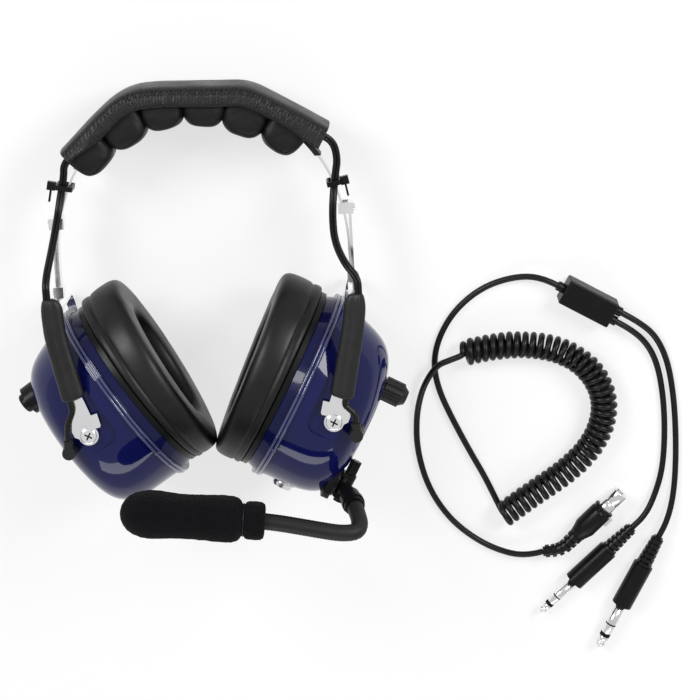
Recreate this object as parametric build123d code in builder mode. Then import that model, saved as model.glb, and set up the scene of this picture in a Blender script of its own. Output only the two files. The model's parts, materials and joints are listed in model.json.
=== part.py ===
from build123d import *
from math import asin, atan2, cos, degrees, radians, sin, tan
import os

# Aviation headset with a boom microphone and its detachable cord set.
#
# The headset is drawn in its own worn frame: X to the wearer's left, Y up to the crown, Z forward
# to the face side, with the origin midway between the two cup pivots. At the end it is laid on its
# back on the table, which is the plane Z = 0, and the cord set lies unplugged beside it.
# Side +1 is the wearer's left cup (boom, volume knob, jack) and side -1 the right one (push button).

SIDES = {"left": 1, "right": -1}
os.makedirs("parts", exist_ok=True)

# ---------------------------------------------------------------- driving dimensions, mm
# Head band: two straight legs, two side arcs and a crown arc, all tangent
band_half_span = 80.0
band_crown = 176.8
band_leg_top = 90.0
band_leg_bottom = 69.0
band_side_radius = 100.0
band_width = 12.0
band_thick = 1.2

# Head pad: the cover has slid a little to the wearer's right, so that it lies lopsided on the band
pad_cover_points = [(73.0, 156.8), (31.0, 182.0), (-36.0, 184.5), (-73.5, 150.8)]
pad_cover_bend = 55.0
pad_cover_thick = 2.5
pad_cover_half_width = 21.5
pad_skirt_depth = 11.0
pad_skirt_thick = 2.5
pad_lobe_centre = (-2.0, 94.0)
pad_lobe_turn = 2.7             # degrees
pad_lobe_count = 6
pad_lobe_pitch = 16.9           # degrees
pad_lobe_inner_radius = 67.3
pad_lobe_long, pad_lobe_deep = 23.6, 22.0
pad_lobe_round = 10.0
pad_lobe_end_round = 5.0
pad_crease_radius = 73.5
sheath_width = 18.0
sheath_wall = 0.9
sheath_bottom = 141.0
soft_gap = 0.3                  # between soft pieces and their neighbours

# Stirrup: a strap bent to a U round the cup, with a tongue beside the band's leg
pivot_half_span = 66.5
strap_thick = 1.5
strap_width = 5.0
stirrup_inside = 41.6           # half the gap between the two arms
stirrup_height = 67.0           # pivots to crossbar, along the arms
stirrup_lean = 12.4             # arms lean out towards the crown, degrees
stirrup_bend = 7.0
tongue_gap = 0.1
bar_overlap = 3.0               # how far the tongue reaches down into the crossbar's bend
tongue_top = 114.0
lug_radius = 5.0
clip_height = 6.0
clip_wall = 1.2
clip_gap = 0.1
clip_screw_radius = 2.2
clip_screw_height = 1.0
band_clip_bottom = 70.0

# Pivot hardware
pivot_shank_radius = 2.0
running_gap = 0.05
face_gap = 0.1
washer_thick = 0.6
washer_radius = 5.4
spacer_radius = 5.0
screw_head_radius = 4.5
screw_head_height = 2.2
pocket_floor = 39.0             # half the distance between the two pivot pockets' floors
pocket_low, pocket_high = -13.0, 48.0
pocket_inner, pocket_outer = 9.5, 31.0
pocket_round = 7.0

# Cup, in its own frame: u up its long axis, w outward from the seam, y fore and aft
cup_tilt = {1: 28.9, -1: 33.6}  # tops lean outward at rest, degrees
pivot_u, pivot_w = -2.0, 23.0
seam_half_long, seam_half_wide = 54.0, 44.0
bead = 1.2
bead_height = 2.2
shell_wall = 5.0
# height w, centre u, half length along u, half width fore and aft
shell_sections = [
    (0.0, 0.0, 54.0, 44.0),
    (12.0, -1.2, 52.2, 42.6),
    (24.0, -3.2, 49.8, 40.6),
    (33.0, -4.4, 46.4, 37.0),
    (40.0, -6.0, 39.2, 30.2),
    (43.4, -6.5, 28.5, 22.0),
]
shell_top = shell_sections[-1][0]
cavity_top = 34.5
inner_shell_depth = 7.5
inner_shell_half_long, inner_shell_half_wide = 51.0, 41.5
inner_shell_wall = 3.0
plate_thick = 3.0
plate_half_long, plate_half_wide = 52.5, 42.5
ear_half_long, ear_half_wide = 32.0, 20.0
seal_centre_u = 0.8
seal_half_long, seal_half_wide = 54.2, 43.5
seal_thick = {1: 19.8, -1: 19.2}    # at its middle
seal_wedge = {1: 4.0, -1: 5.0}  # thicker toward the top, degrees
seal_outer_round = 8.0
seal_inner_round = 6.0
foam_depth = 14.0
foam_margin = 1.0
speaker_radius = 20.0
speaker_depth = 8.0

# Leads and their fittings
lead_radius = 1.7
sleeve_width = 11.6
sleeve_thick = 7.4
sleeve_wall = 1.0
sleeve_shift = 2.0              # the sleeve sits this far outboard of the strap
lead_shift = 4.2                # and the lead this far
sleeve_bend = 58.0
sleeve_top = {1: 70.0, -1: 76.0}
sleeve_bottom = {1: 13.5, -1: 20.5}
lead_bore_gap = 0.1
boot_u, boot_w = -3.0, 37.0
boot_radius = 4.6
boot_top_radius = 3.6
boot_low, boot_high = 28.0, 47.7
boot_nose_radius = 2.7
boot_nose_length = 6.5
tie_y = {1: 125.5, -1: 130.5}
tie_reach = {1: 0.0, -1: 3.0}   # how far outboard of the band its lead lies
tie_width = 2.8
tie_thick = 1.1
tie_gap = 1.0
tie_head = 4.6
tie_tail = 6.5

# Controls
knob_u = 19.0
knob_radius = 7.0
knob_length = 13.8
knob_round = 3.2
knob_flutes = 12
knob_flute_radius = 0.8
knob_gap = 0.4
shaft_radius = 3.0
pot_radius = 6.0
pot_top = 31.5
pot_depth = 7.0
button_u = 28.0
button_collar_radius = 8.2
button_collar_height = 3.0
button_radius = 5.6
button_stand = 3.6              # the cap above its collar
button_depth = 6.5
switch_radius = 5.0
switch_depth = 7.0
button_travel = 1.5
button_gap = 0.08
jack_w = 17.0
jack_radius = 6.0
jack_flange_radius = 6.8
jack_flange_thick = 1.6
jack_bore_radius = 4.9
jack_bore_depth = 9.0
jack_reach = 2.2

# Boom, on the left cup
boom_u, boom_z = -37.0, 12.0
bracket_long, bracket_wide = 22.0, 22.0
bracket_face = 40.8
bracket_foot = 36.8
swivel_radius = 9.5
swivel_thick = 1.6
swivel_pin_radius = 3.0
fork_half_gap = 5.2
fork_thick = 2.2
fork_radius = 3.9
tilt_z = 18.0
tilt_height = 4.0               # tilt axis above the swivel's disc
tilt_pin_radius = 1.4
barrel_radius = 3.8
barrel_gap = 0.1
thumb_radius = 3.1
thumb_length = 8.0
nut_radius = 2.8
nut_thick = 2.2
arm_neck_length = 6.0
arm_taper_length = 6.0
elbow_end = (75.2, -48.6, 40.5)
elbow_radius = 5.6
ferrule_radius = 6.3
ferrule_length = 3.0
neck_radius = 4.6
neck_lead_in = 8.0              # straight runs at the gooseneck's two ends
neck_bends = [(77.0, -58.6, 58.5), (46.0, -52.9, 60.0)]
neck_end = (24.0, -48.6, 60.0)
muff_end = (-51.2, -39.5, 60.0)
muff_collar_radius = 10.4
muff_collar_length = 11.0
muff_collar_start = 2.5         # the collar reaches back over the gooseneck
muff_groove_radius = 8.7
muff_groove_length = 1.6
muff_radius = 13.2
muff_waist = 12.0
capsule_radius = 7.6
capsule_length = 34.0

# ---------------------------------------------------------------- helpers
parts = {}


def keep(builder, name):
    """Name a finished piece and hold it until the headset is laid down."""
    builder.part.label = name
    parts[name] = builder.part


def corner_radii(points):
    """The largest comfortable radius at each corner of a route."""
    radii = []
    for a, b, c in zip(points, points[1:], points[2:]):
        into, out = Vector(b) - Vector(a), Vector(c) - Vector(b)
        half_turn = radians(into.get_angle(out)) / 2
        radii.append(0.45 * min(into.length, out.length) / tan(half_turn))
    return radii


def tube(points, radius):
    """A round tube along straight runs that are joined by tangent arcs."""
    with BuildPart(mode=Mode.PRIVATE) as made:
        with BuildLine() as route:
            if len(points) > 2:
                FilletPolyline(*points, radius=corner_radii(points))
            else:
                Line(*points)
        with BuildSketch(Plane(origin=route.line @ 0, z_dir=route.line % 0)):
            Circle(radius)
        sweep()
    return made.part


def cup_plane(side):
    """The cup's own frame: x up its long axis, z outward, origin at the centre of the seam."""
    tilt = radians(cup_tilt[side])
    up = Vector(side * sin(tilt), cos(tilt), 0)
    out = Vector(side * cos(tilt), -sin(tilt), 0)
    pivot = Vector(side * pivot_half_span, 0, 0)
    return Plane(origin=pivot - up * pivot_u - out * pivot_w, x_dir=up, z_dir=out)


def fore_plane(side):
    """The cup's u and w axes, seen from the front or the rear."""
    cup = cup_plane(side)
    return Plane(origin=cup.origin, x_dir=cup.x_dir, z_dir=-cup.y_dir)


def shell_body(side, inset=0.0, top=shell_top):
    """The outer shell's filled form, or the form that lies inset below its surface."""
    cup = cup_plane(side)
    with BuildPart(mode=Mode.PRIVATE) as made:
        for height, centre, half_long, half_wide in shell_sections:
            with BuildSketch(cup.offset(height * top / shell_top)):
                with Locations((centre, 0)):
                    Ellipse(half_long - inset, half_wide - inset)
        loft()
    return made.part


# ---------------------------------------------------------------- head band and pad
side_arc_x = band_half_span - band_side_radius
crown_rise = band_crown - band_leg_top
band_crown_radius = (band_side_radius**2 - crown_rise**2 - side_arc_x**2) / (2 * (band_side_radius - crown_rise))
crown_arc_y = band_crown - band_crown_radius
join_angle = degrees(atan2(crown_arc_y - band_leg_top, -side_arc_x))


def arch_lines(out_by, bottom):
    """The band's centre line, moved outward by out_by, with legs that end at bottom."""
    span = band_half_span + out_by
    Line((span, bottom), (span, band_leg_top))
    CenterArc((side_arc_x, band_leg_top), band_side_radius + out_by, 0, join_angle)
    CenterArc((0, crown_arc_y), band_crown_radius + out_by, join_angle, 180 - 2 * join_angle)
    CenterArc((-side_arc_x, band_leg_top), band_side_radius + out_by, 180 - join_angle, join_angle)
    Line((-span, band_leg_top), (-span, bottom))


def arch(low, high, bottom, half_width):
    """A strip that follows the band, from low to high of its centre line."""
    with BuildPart(mode=Mode.PRIVATE) as made:
        with BuildSketch(Plane.XY):
            with BuildLine():
                arch_lines(high, bottom)
                arch_lines(low, bottom)
                for way in (1, -1):
                    Line((way * (band_half_span + low), bottom), (way * (band_half_span + high), bottom))
            make_face()
        extrude(amount=half_width, both=True)
    return made.part


def band_point(height):
    """Where the band's side arc is at a height, and its lean from upright in degrees, on side +1."""
    lean = asin((height - band_leg_top) / band_side_radius)
    return side_arc_x + band_side_radius * cos(lean), degrees(lean)


with BuildPart() as head_band:
    add(arch(-band_thick / 2, band_thick / 2, band_leg_bottom, band_width / 2))
keep(head_band, "head_band")

with BuildPart() as band_sheath:
    add(arch(-band_thick / 2 - sheath_wall, band_thick / 2 + sheath_wall, band_leg_bottom, sheath_width / 2))
    add(head_band.part, mode=Mode.SUBTRACT)
    split(bisect_by=Plane(origin=(0, sheath_bottom, 0), x_dir=(1, 0, 0), z_dir=(0, 1, 0)), keep=Keep.TOP)
keep(band_sheath, "band_sheath")


def pad_line(depth):
    """The cover's top line moved down by a depth: two flaps, two bends and the crown between."""
    right, bend_right, bend_left, left = [Vector(*point) for point in pad_cover_points]
    crown = (bend_right - bend_left).normalized()
    down = Vector(crown.Y, -crown.X, 0)
    half_turns = [(bend_right - right).get_angle(-crown), (bend_left - left).get_angle(crown)]
    half_turns = [radians(angle) / 2 for angle in half_turns]
    moved = []
    for end, bend, half_turn, way in ((right, bend_right, half_turns[0], 1), (left, bend_left, half_turns[1], -1)):
        along = (end - bend).normalized()
        inward = Vector(way * along.Y, -way * along.X, 0)
        moved.append(end + inward * depth)
        moved.append(bend + down * depth - crown * way * depth * tan(half_turn))
    return [moved[0], moved[1], moved[3], moved[2]]


def cover_strip(low, high, near, far):
    """The cover between two depths below its top line, from z near to far."""
    with BuildPart(mode=Mode.PRIVATE) as made:
        with BuildSketch(Plane.XY.offset(near)):
            with BuildLine():
                ends = []
                for depth in (low, high):
                    points = pad_line(depth)
                    FilletPolyline(*points, radius=pad_cover_bend - depth)
                    ends.append((points[0], points[-1]))
                for one, other in zip(*ends):
                    Line(one, other)
            make_face()
        extrude(amount=far - near)
    return made.part


with BuildPart() as pad_cover:
    skirt_start = pad_cover_half_width - pad_skirt_thick
    add(cover_strip(0, pad_cover_thick, -pad_cover_half_width, pad_cover_half_width))
    add(cover_strip(0, pad_skirt_depth, skirt_start, pad_cover_half_width))
    add(cover_strip(0, pad_skirt_depth, -pad_cover_half_width, -skirt_start))
keep(pad_cover, "pad_cover")

cushion_half_width = pad_cover_half_width - pad_skirt_thick - soft_gap
lobe_span = pad_lobe_pitch * (pad_lobe_count - 1)
lobe_turn = radians(pad_lobe_turn)
lobe_frame = Plane(origin=pad_lobe_centre, x_dir=(cos(lobe_turn), sin(lobe_turn), 0), z_dir=(0, 0, 1))
lobe_centre_radius = pad_lobe_inner_radius + pad_lobe_deep / 2
with BuildPart() as pad_cushion:
    with BuildSketch(lobe_frame):
        Circle(lobe_centre_radius + pad_lobe_deep / 2)
        Circle(pad_crease_radius, mode=Mode.SUBTRACT)
        with BuildLine():
            edges = [radians(90 + way * lobe_span / 2) for way in (-1, 0, 1)]
            Polyline(*[(150 * cos(edge), 150 * sin(edge)) for edge in edges], (0, 0), close=True)
        make_face(mode=Mode.INTERSECT)
    extrude(amount=cushion_half_width, both=True)
    for number in range(pad_lobe_count):
        angle = 90 - lobe_span / 2 + number * pad_lobe_pitch
        with BuildPart(mode=Mode.PRIVATE) as lobe:
            with BuildSketch(lobe_frame):
                with PolarLocations(lobe_centre_radius, 1, start_angle=angle):
                    RectangleRounded(pad_lobe_deep, pad_lobe_long, pad_lobe_round)
            extrude(amount=cushion_half_width, both=True)
            ends = lobe.faces().sort_by(Axis.Z)
            fillet(ends[0].edges() + ends[-1].edges(), pad_lobe_end_round)
        add(lobe.part)
    # the cushion's back follows the band's sheath
    cushion_back = -band_thick / 2 - sheath_wall - soft_gap
    add(arch(cushion_back, 40, band_leg_bottom, pad_cover_half_width), mode=Mode.SUBTRACT)
keep(pad_cushion, "pad_cushion")

# ---------------------------------------------------------------- stirrups, clips, sleeves
lean = radians(stirrup_lean)
lead_z = stirrup_inside + strap_thick + lead_radius + lead_bore_gap
sleeve_centre_z = lead_z + lead_radius + sleeve_wall - sleeve_thick / 2
boot_nose_z = lead_z
stirrup_outside = stirrup_inside + strap_thick
tongue_in = band_half_span + band_thick / 2 + tongue_gap
tongue_out = tongue_in + strap_thick


def arm_direction(side):
    return Vector(side * sin(lean), cos(lean), 0)


def arm_point(side, height, forward):
    """A point along the arm's line, at a height above the pivot."""
    return Vector(side * (pivot_half_span + height * tan(lean)), height, forward)


def sleeve_route(side, shift, forward):
    """Up beside the arm and then upright, shifted outboard of the arm's line."""
    half = lean / 2
    bottom = arm_point(side, sleeve_bottom[side], forward) + Vector(side * cos(lean), -sin(lean), 0) * shift
    bend = arm_point(side, sleeve_bend, forward) + Vector(side * cos(half), -sin(half), 0) * shift / cos(half)
    return [bottom, bend, Vector(bend.X, sleeve_top[side], forward)]


# The lug at the arm's end, from the pivot: x outward, y up
lug_outline = [
    (1.6, 20.0), (7.6, 20.0), (9.0, 2.4), (7.6, -0.8), (3.6, -2.6), (0.0, 0.0),
    (-3.0, 3.4), (-6.4, 4.2), (-6.8, 5.4), (-5.2, 12.0), (-1.8, 11.0),
]

for name, side in SIDES.items():
    along = arm_direction(side)
    yoke = Plane(
        origin=(side * pivot_half_span, 0, 0), x_dir=(0, 0, 1), z_dir=(-along.Y, along.X, 0)
    )
    with BuildPart() as stirrup:
        with BuildSketch(yoke):
            RectangleRounded(2 * stirrup_outside, 2 * stirrup_height, stirrup_bend + strap_thick)
            RectangleRounded(
                2 * stirrup_inside, 2 * (stirrup_height - strap_thick), stirrup_bend, mode=Mode.SUBTRACT
            )
            with Locations((0, lug_radius - stirrup_height)):
                Rectangle(3 * stirrup_outside, 2 * stirrup_height, mode=Mode.SUBTRACT)
        extrude(amount=strap_width / 2, both=True)
        for start in (stirrup_inside, -stirrup_outside):
            with BuildSketch(Plane.XY.offset(start)):
                with BuildLine():
                    Polyline(*[(side * (pivot_half_span + x), y) for x, y in lug_outline], close=True)
                make_face()
                with Locations((side * pivot_half_span, 0)):
                    Circle(lug_radius)
                    Circle(pivot_shank_radius + running_gap, mode=Mode.SUBTRACT)
            extrude(amount=strap_thick)
        # the tongue stands on the crossbar, outboard of the band's leg
        tongue_low = stirrup_height * cos(lean) - bar_overlap / 2
        with BuildSketch(Plane.XZ.offset(-tongue_low)):
            with Locations((side * (tongue_out + tongue_in) / 2, 0)):
                Rectangle(strap_thick, band_width)
        extrude(amount=tongue_low - tongue_top)
    keep(stirrup, f"stirrup_{name}")

    # clip at the tongue's top, which wraps the band's leg and runs along it
    run_in = band_point(tongue_top)[0] - band_thick / 2 - clip_gap
    with BuildPart() as tongue_clip:
        with BuildSketch(Plane.XZ.offset(-(tongue_top - clip_height))):
            for low, high, half, mode in (
                (run_in - clip_wall, tongue_out + clip_wall, band_width / 2 + clip_gap + clip_wall, Mode.ADD),
                (run_in, tongue_out, band_width / 2 + clip_gap, Mode.SUBTRACT),
            ):
                with Locations((side * (low + high) / 2, 0)):
                    Rectangle(high - low, 2 * half, mode=mode)
        extrude(amount=-clip_height)
        with BuildSketch(Plane.YZ.offset(side * (tongue_out + clip_wall))):
            with Locations((tongue_top - clip_height / 2, 0)):
                Circle(clip_screw_radius)
        extrude(amount=side * clip_screw_height)
    keep(tongue_clip, f"tongue_clip_{name}")

    lead_route = sleeve_route(side, lead_shift, lead_z)
    parts[f"lead_in_sleeve_{name}"] = tube(lead_route, lead_radius)

    with BuildPart() as cable_sleeve:
        with BuildLine() as sleeve_line:
            sleeve_points = sleeve_route(side, sleeve_shift, sleeve_centre_z)
            FilletPolyline(*sleeve_points, radius=corner_radii(sleeve_points))
        with BuildSketch(Plane(origin=sleeve_points[0], x_dir=(0, 0, 1), z_dir=sleeve_line.line % 0)):
            SlotOverall(sleeve_width, sleeve_thick, rotation=90)
        sweep()
        add(parts[f"lead_in_sleeve_{name}"], mode=Mode.SUBTRACT)
        add(stirrup.part, mode=Mode.SUBTRACT)
    keep(cable_sleeve, f"cable_sleeve_{name}")

# clips that hold the band's ends and guide the tongues
with BuildPart() as band_clips:
    for side in SIDES.values():
        with BuildSketch(Plane.XZ.offset(-band_clip_bottom)):
            inner = band_half_span - band_thick / 2
            for low, high, half, mode in (
                (inner - clip_wall, tongue_out + clip_gap + clip_wall, band_width / 2 + clip_gap + clip_wall, Mode.ADD),
                (inner, tongue_out + clip_gap, band_width / 2 + clip_gap, Mode.SUBTRACT),
            ):
                with Locations((side * (low + high) / 2, 0)):
                    Rectangle(high - low, 2 * half, mode=mode)
        extrude(amount=-clip_height)
        with BuildSketch(Plane.YZ.offset(side * (tongue_out + clip_gap + clip_wall))):
            with Locations((band_clip_bottom + clip_height / 2, 0)):
                Circle(clip_screw_radius)
        extrude(amount=side * clip_screw_height)
keep(band_clips, "band_clips")

# ---------------------------------------------------------------- ear cups
for name, side in SIDES.items():
    cup = cup_plane(side)
    fore = fore_plane(side)
    shell_form = shell_body(side)

    with BuildPart() as outer_shell:
        add(shell_form)
        with BuildSketch(cup):
            Ellipse(seam_half_long + bead, seam_half_wide + bead)
        extrude(amount=bead_height)
        add(shell_body(side, shell_wall, cavity_top), mode=Mode.SUBTRACT)
        # pockets in which the stirrup's lugs swing
        pocket_long, pocket_wide = pocket_high - pocket_low, pocket_outer - pocket_inner
        for face, way in ((pocket_floor, 1), (-pocket_floor, -1)):
            with BuildSketch(fore.offset(face)):
                with Locations(((pocket_low + pocket_high) / 2, (pocket_inner + pocket_outer) / 2)):
                    RectangleRounded(pocket_long, pocket_wide, pocket_round)
            extrude(amount=way * pocket_floor, mode=Mode.SUBTRACT)
        with BuildSketch(Plane.XY):
            with Locations((side * pivot_half_span, 0)):
                Circle(pivot_shank_radius + running_gap)
        extrude(amount=2 * seam_half_wide, both=True, mode=Mode.SUBTRACT)
        if side == 1:
            with BuildSketch(cup.offset(shell_top + bead)):
                with Locations((knob_u, 0)):
                    Circle(shaft_radius + running_gap)
            extrude(amount=-shell_top / 2, mode=Mode.SUBTRACT)
            # a recess in which the boom's bracket sits
            with BuildSketch(cup.offset(bracket_foot)):
                with Locations((boom_u, boom_z)):
                    RectangleRounded(bracket_long + 2 * face_gap, bracket_wide + 2 * face_gap, 5)
            extrude(amount=shell_top, mode=Mode.SUBTRACT)
            jack_mouth = seam_half_long + jack_reach
            jack_plane = Plane(
                origin=cup.from_local_coords((-jack_mouth, 0, jack_w)), x_dir=cup.y_dir, z_dir=-cup.x_dir
            )
            with BuildSketch(jack_plane):
                Circle(jack_radius + running_gap)
            extrude(amount=-jack_mouth / 2, mode=Mode.SUBTRACT)
        else:
            with BuildSketch(cup.offset(shell_top + bead)):
                with Locations((button_u, 0)):
                    Circle(button_radius + button_gap)
            extrude(amount=-shell_top / 2, mode=Mode.SUBTRACT)
    keep(outer_shell, f"outer_shell_{name}")

    with BuildPart() as inner_shell:
        with BuildSketch(cup):
            Ellipse(seam_half_long, seam_half_wide)
        with BuildSketch(cup.offset(-inner_shell_depth)):
            Ellipse(inner_shell_half_long, inner_shell_half_wide)
        loft()
        with BuildSketch(cup):
            Ellipse(seam_half_long + bead, seam_half_wide + bead)
        extrude(amount=-bead_height)
        with BuildSketch(cup):
            Ellipse(seam_half_long - shell_wall, seam_half_wide - shell_wall)
        with BuildSketch(cup.offset(-inner_shell_depth)):
            Ellipse(inner_shell_half_long - inner_shell_wall, inner_shell_half_wide - inner_shell_wall)
        loft(mode=Mode.SUBTRACT)
    keep(inner_shell, f"inner_shell_{name}")

    with BuildPart() as seal_plate:
        with BuildSketch(cup.offset(-inner_shell_depth)):
            Ellipse(plate_half_long, plate_half_wide)
            Ellipse(ear_half_long, ear_half_wide, mode=Mode.SUBTRACT)
        extrude(amount=-plate_thick)
    keep(seal_plate, f"seal_plate_{name}")

    seal_start = inner_shell_depth + plate_thick + soft_gap
    face_origin = cup.from_local_coords((0, 0, -seal_start - seal_thick[side]))
    wedge = radians(seal_wedge[side])
    face_normal = -cup.z_dir * cos(wedge) - cup.x_dir * sin(wedge)
    with BuildPart() as ear_seal:
        with BuildSketch(cup.offset(-seal_start)):
            with Locations((seal_centre_u, 0)):
                Ellipse(seal_half_long, seal_half_wide)
            Ellipse(ear_half_long, ear_half_wide, mode=Mode.SUBTRACT)
        extrude(amount=-2 * seal_thick[side])
        split(bisect_by=Plane(origin=face_origin, x_dir=cup.y_dir, z_dir=face_normal), keep=Keep.BOTTOM)
        face = ear_seal.faces().sort_by(Axis(cup.origin, cup.z_dir))[0]
        face_edges = face.edges().sort_by(SortBy.LENGTH)
        fillet(face_edges[0], seal_inner_round)
        fillet(face_edges[-1], seal_outer_round)
    keep(ear_seal, f"ear_seal_{name}")

    foam_front = -inner_shell_depth
    speaker_front = foam_front + (foam_depth - speaker_depth) / 2
    with BuildPart() as ear_foam:
        with BuildSketch(cup.offset(foam_front)):
            Ellipse(
                inner_shell_half_long - inner_shell_wall - foam_margin,
                inner_shell_half_wide - inner_shell_wall - foam_margin,
            )
        extrude(amount=foam_depth)
        with BuildSketch(cup.offset(speaker_front)):
            Circle(speaker_radius + soft_gap)
        extrude(amount=foam_depth, mode=Mode.SUBTRACT)
    keep(ear_foam, f"ear_foam_{name}")

    with BuildPart() as speaker:
        with BuildSketch(cup.offset(speaker_front)):
            Circle(speaker_radius)
        extrude(amount=speaker_depth / 2)
        with BuildSketch(cup.offset(speaker_front + speaker_depth / 2)):
            Circle(speaker_radius / 2)
        extrude(amount=speaker_depth / 2)
    keep(speaker, f"speaker_{name}")

    # screw, spacer and washer of each pivot, front and rear
    head_start = stirrup_outside + face_gap + washer_thick
    with BuildPart() as pivot_screws:
        for low, high, radius in (
            (pocket_floor - shell_wall / 2, head_start, pivot_shank_radius),
            (pocket_floor, stirrup_inside - face_gap, spacer_radius),
            (stirrup_outside + face_gap, head_start, washer_radius),
            (head_start, head_start + screw_head_height, screw_head_radius),
        ):
            with BuildSketch(Plane.XY.offset(low)):
                with Locations((side * pivot_half_span, 0)):
                    Circle(radius)
            extrude(amount=high - low)
        fillet(pivot_screws.faces().sort_by(Axis.Z)[-1].edges(), screw_head_height / 2)
        with BuildSketch(Plane.XY.offset(head_start + screw_head_height)):
            with Locations((side * pivot_half_span, 0)):
                Rectangle(screw_head_radius, screw_head_radius / 4)
                Rectangle(screw_head_radius / 4, screw_head_radius)
        extrude(amount=-screw_head_height / 2, mode=Mode.SUBTRACT)
        mirror(about=Plane.XY)
    keep(pivot_screws, f"pivot_screws_{name}")

    # strain relief where the lead enters the cup
    boot_origin = cup.from_local_coords((boot_u, 0, boot_w))
    with BuildPart() as cable_boot:
        with Locations((boot_origin.X, boot_origin.Y, boot_low)):
            Cone(boot_radius, boot_top_radius, boot_high - boot_low, align=(Align.CENTER, Align.CENTER, Align.MIN))
        with BuildSketch(Plane.XZ.offset(-boot_origin.Y)):
            with Locations((boot_origin.X, boot_nose_z)):
                Circle(boot_nose_radius)
        extrude(amount=-boot_nose_length)
        add(shell_form, mode=Mode.SUBTRACT)
    keep(cable_boot, f"cable_boot_{name}")

# ---------------------------------------------------------------- controls and jack
left_cup, right_cup = cup_plane(1), cup_plane(-1)

with BuildPart() as volume_pot:
    with BuildSketch(left_cup.offset(pot_top)):
        with Locations((knob_u, 0)):
            Circle(pot_radius)
    extrude(amount=-pot_depth)
    with BuildSketch(left_cup.offset(pot_top)):
        with Locations((knob_u, 0)):
            Circle(shaft_radius)
    extrude(amount=shell_top - pot_top + knob_length / 2)
keep(volume_pot, "volume_pot")

with BuildPart() as volume_knob:
    with BuildSketch(left_cup.offset(shell_top + knob_gap)):
        with Locations((knob_u, 0)):
            Circle(knob_radius)
            with PolarLocations(knob_radius, knob_flutes):
                Circle(knob_flute_radius, mode=Mode.SUBTRACT)
    extrude(amount=knob_length - knob_round)
    with BuildSketch(left_cup.offset(shell_top + knob_gap + knob_length - knob_round)):
        with Locations((knob_u, 0)):
            Circle(knob_radius - knob_flute_radius)
    extrude(amount=knob_round, taper=35)
    with BuildSketch(left_cup.offset(shell_top + knob_gap)):
        with Locations((knob_u, 0)):
            Circle(shaft_radius + running_gap)
    extrude(amount=knob_length / 2, mode=Mode.SUBTRACT)
keep(volume_knob, "volume_knob")

button_top = shell_top + button_collar_height + button_stand
switch_start = button_top - button_depth - button_travel - face_gap
with BuildPart() as button_base:
    with BuildSketch(right_cup.offset(shell_top - 2 * button_collar_height)):
        with Locations((button_u, 0)):
            Circle(button_collar_radius)
    extrude(amount=3 * button_collar_height)
    add(shell_body(-1), mode=Mode.SUBTRACT)
    with BuildSketch(right_cup.offset(shell_top - 2 * button_collar_height)):
        with Locations((button_u, 0)):
            Circle(button_radius + button_gap)
    extrude(amount=3 * button_collar_height, mode=Mode.SUBTRACT)
    with BuildSketch(right_cup.offset(switch_start)):
        with Locations((button_u, 0)):
            Circle(switch_radius)
    extrude(amount=-switch_depth)
keep(button_base, "push_button_base")

with BuildPart() as button_cap:
    with BuildSketch(right_cup.offset(button_top)):
        with Locations((button_u, 0)):
            Circle(button_radius)
    extrude(amount=-button_depth)
    fillet(button_cap.faces().sort_by(Axis(right_cup.origin, right_cup.z_dir))[-1].edges(), button_travel)
keep(button_cap, "push_button_cap")

with BuildPart() as cord_jack:
    with BuildSketch(jack_plane):
        Circle(jack_radius)
    extrude(amount=-(jack_reach + shell_wall + jack_bore_depth))
    with BuildSketch(jack_plane.offset(-jack_reach / 2)):
        Circle(jack_flange_radius)
    extrude(amount=-jack_flange_thick)
    with BuildSketch(jack_plane):
        Circle(jack_bore_radius)
    extrude(amount=-jack_bore_depth, mode=Mode.SUBTRACT)
keep(cord_jack, "cord_jack")

# ---------------------------------------------------------------- boom and microphone
boom_axis = left_cup.from_local_coords((boom_u, boom_z, 0))
swivel_start = bracket_face + face_gap
tilt_w = bracket_face + face_gap + swivel_thick + tilt_height
tilt_centre = left_cup.from_local_coords((boom_u, tilt_z, tilt_w))

with BuildPart() as boom_bracket:
    with BuildSketch(left_cup.offset(bracket_foot)):
        with Locations((boom_u, boom_z)):
            RectangleRounded(bracket_long, bracket_wide, 5)
    extrude(amount=bracket_face - bracket_foot)
    with BuildSketch(left_cup.offset(bracket_face)):
        with Locations((boom_u, boom_z)):
            Circle(swivel_pin_radius)
    extrude(amount=swivel_thick)
keep(boom_bracket, "boom_bracket")

across = Plane(origin=left_cup.origin, x_dir=left_cup.y_dir, z_dir=left_cup.x_dir)
with BuildPart() as boom_swivel:
    with BuildSketch(left_cup.offset(swivel_start)):
        with Locations((boom_u, boom_z)):
            Circle(swivel_radius)
            Circle(swivel_pin_radius + running_gap, mode=Mode.SUBTRACT)
    extrude(amount=swivel_thick)
    for start in (boom_u + fork_half_gap, boom_u - fork_half_gap - fork_thick):
        with BuildSketch(across.offset(start)):
            with Locations((tilt_z, tilt_w)):
                Circle(fork_radius)
            with Locations((tilt_z, tilt_w - tilt_height / 2)):
                Rectangle(2 * fork_radius, tilt_height)
            with Locations((tilt_z, tilt_w)):
                Circle(tilt_pin_radius + running_gap, mode=Mode.SUBTRACT)
        extrude(amount=fork_thick)
keep(boom_swivel, "boom_swivel")

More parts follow.
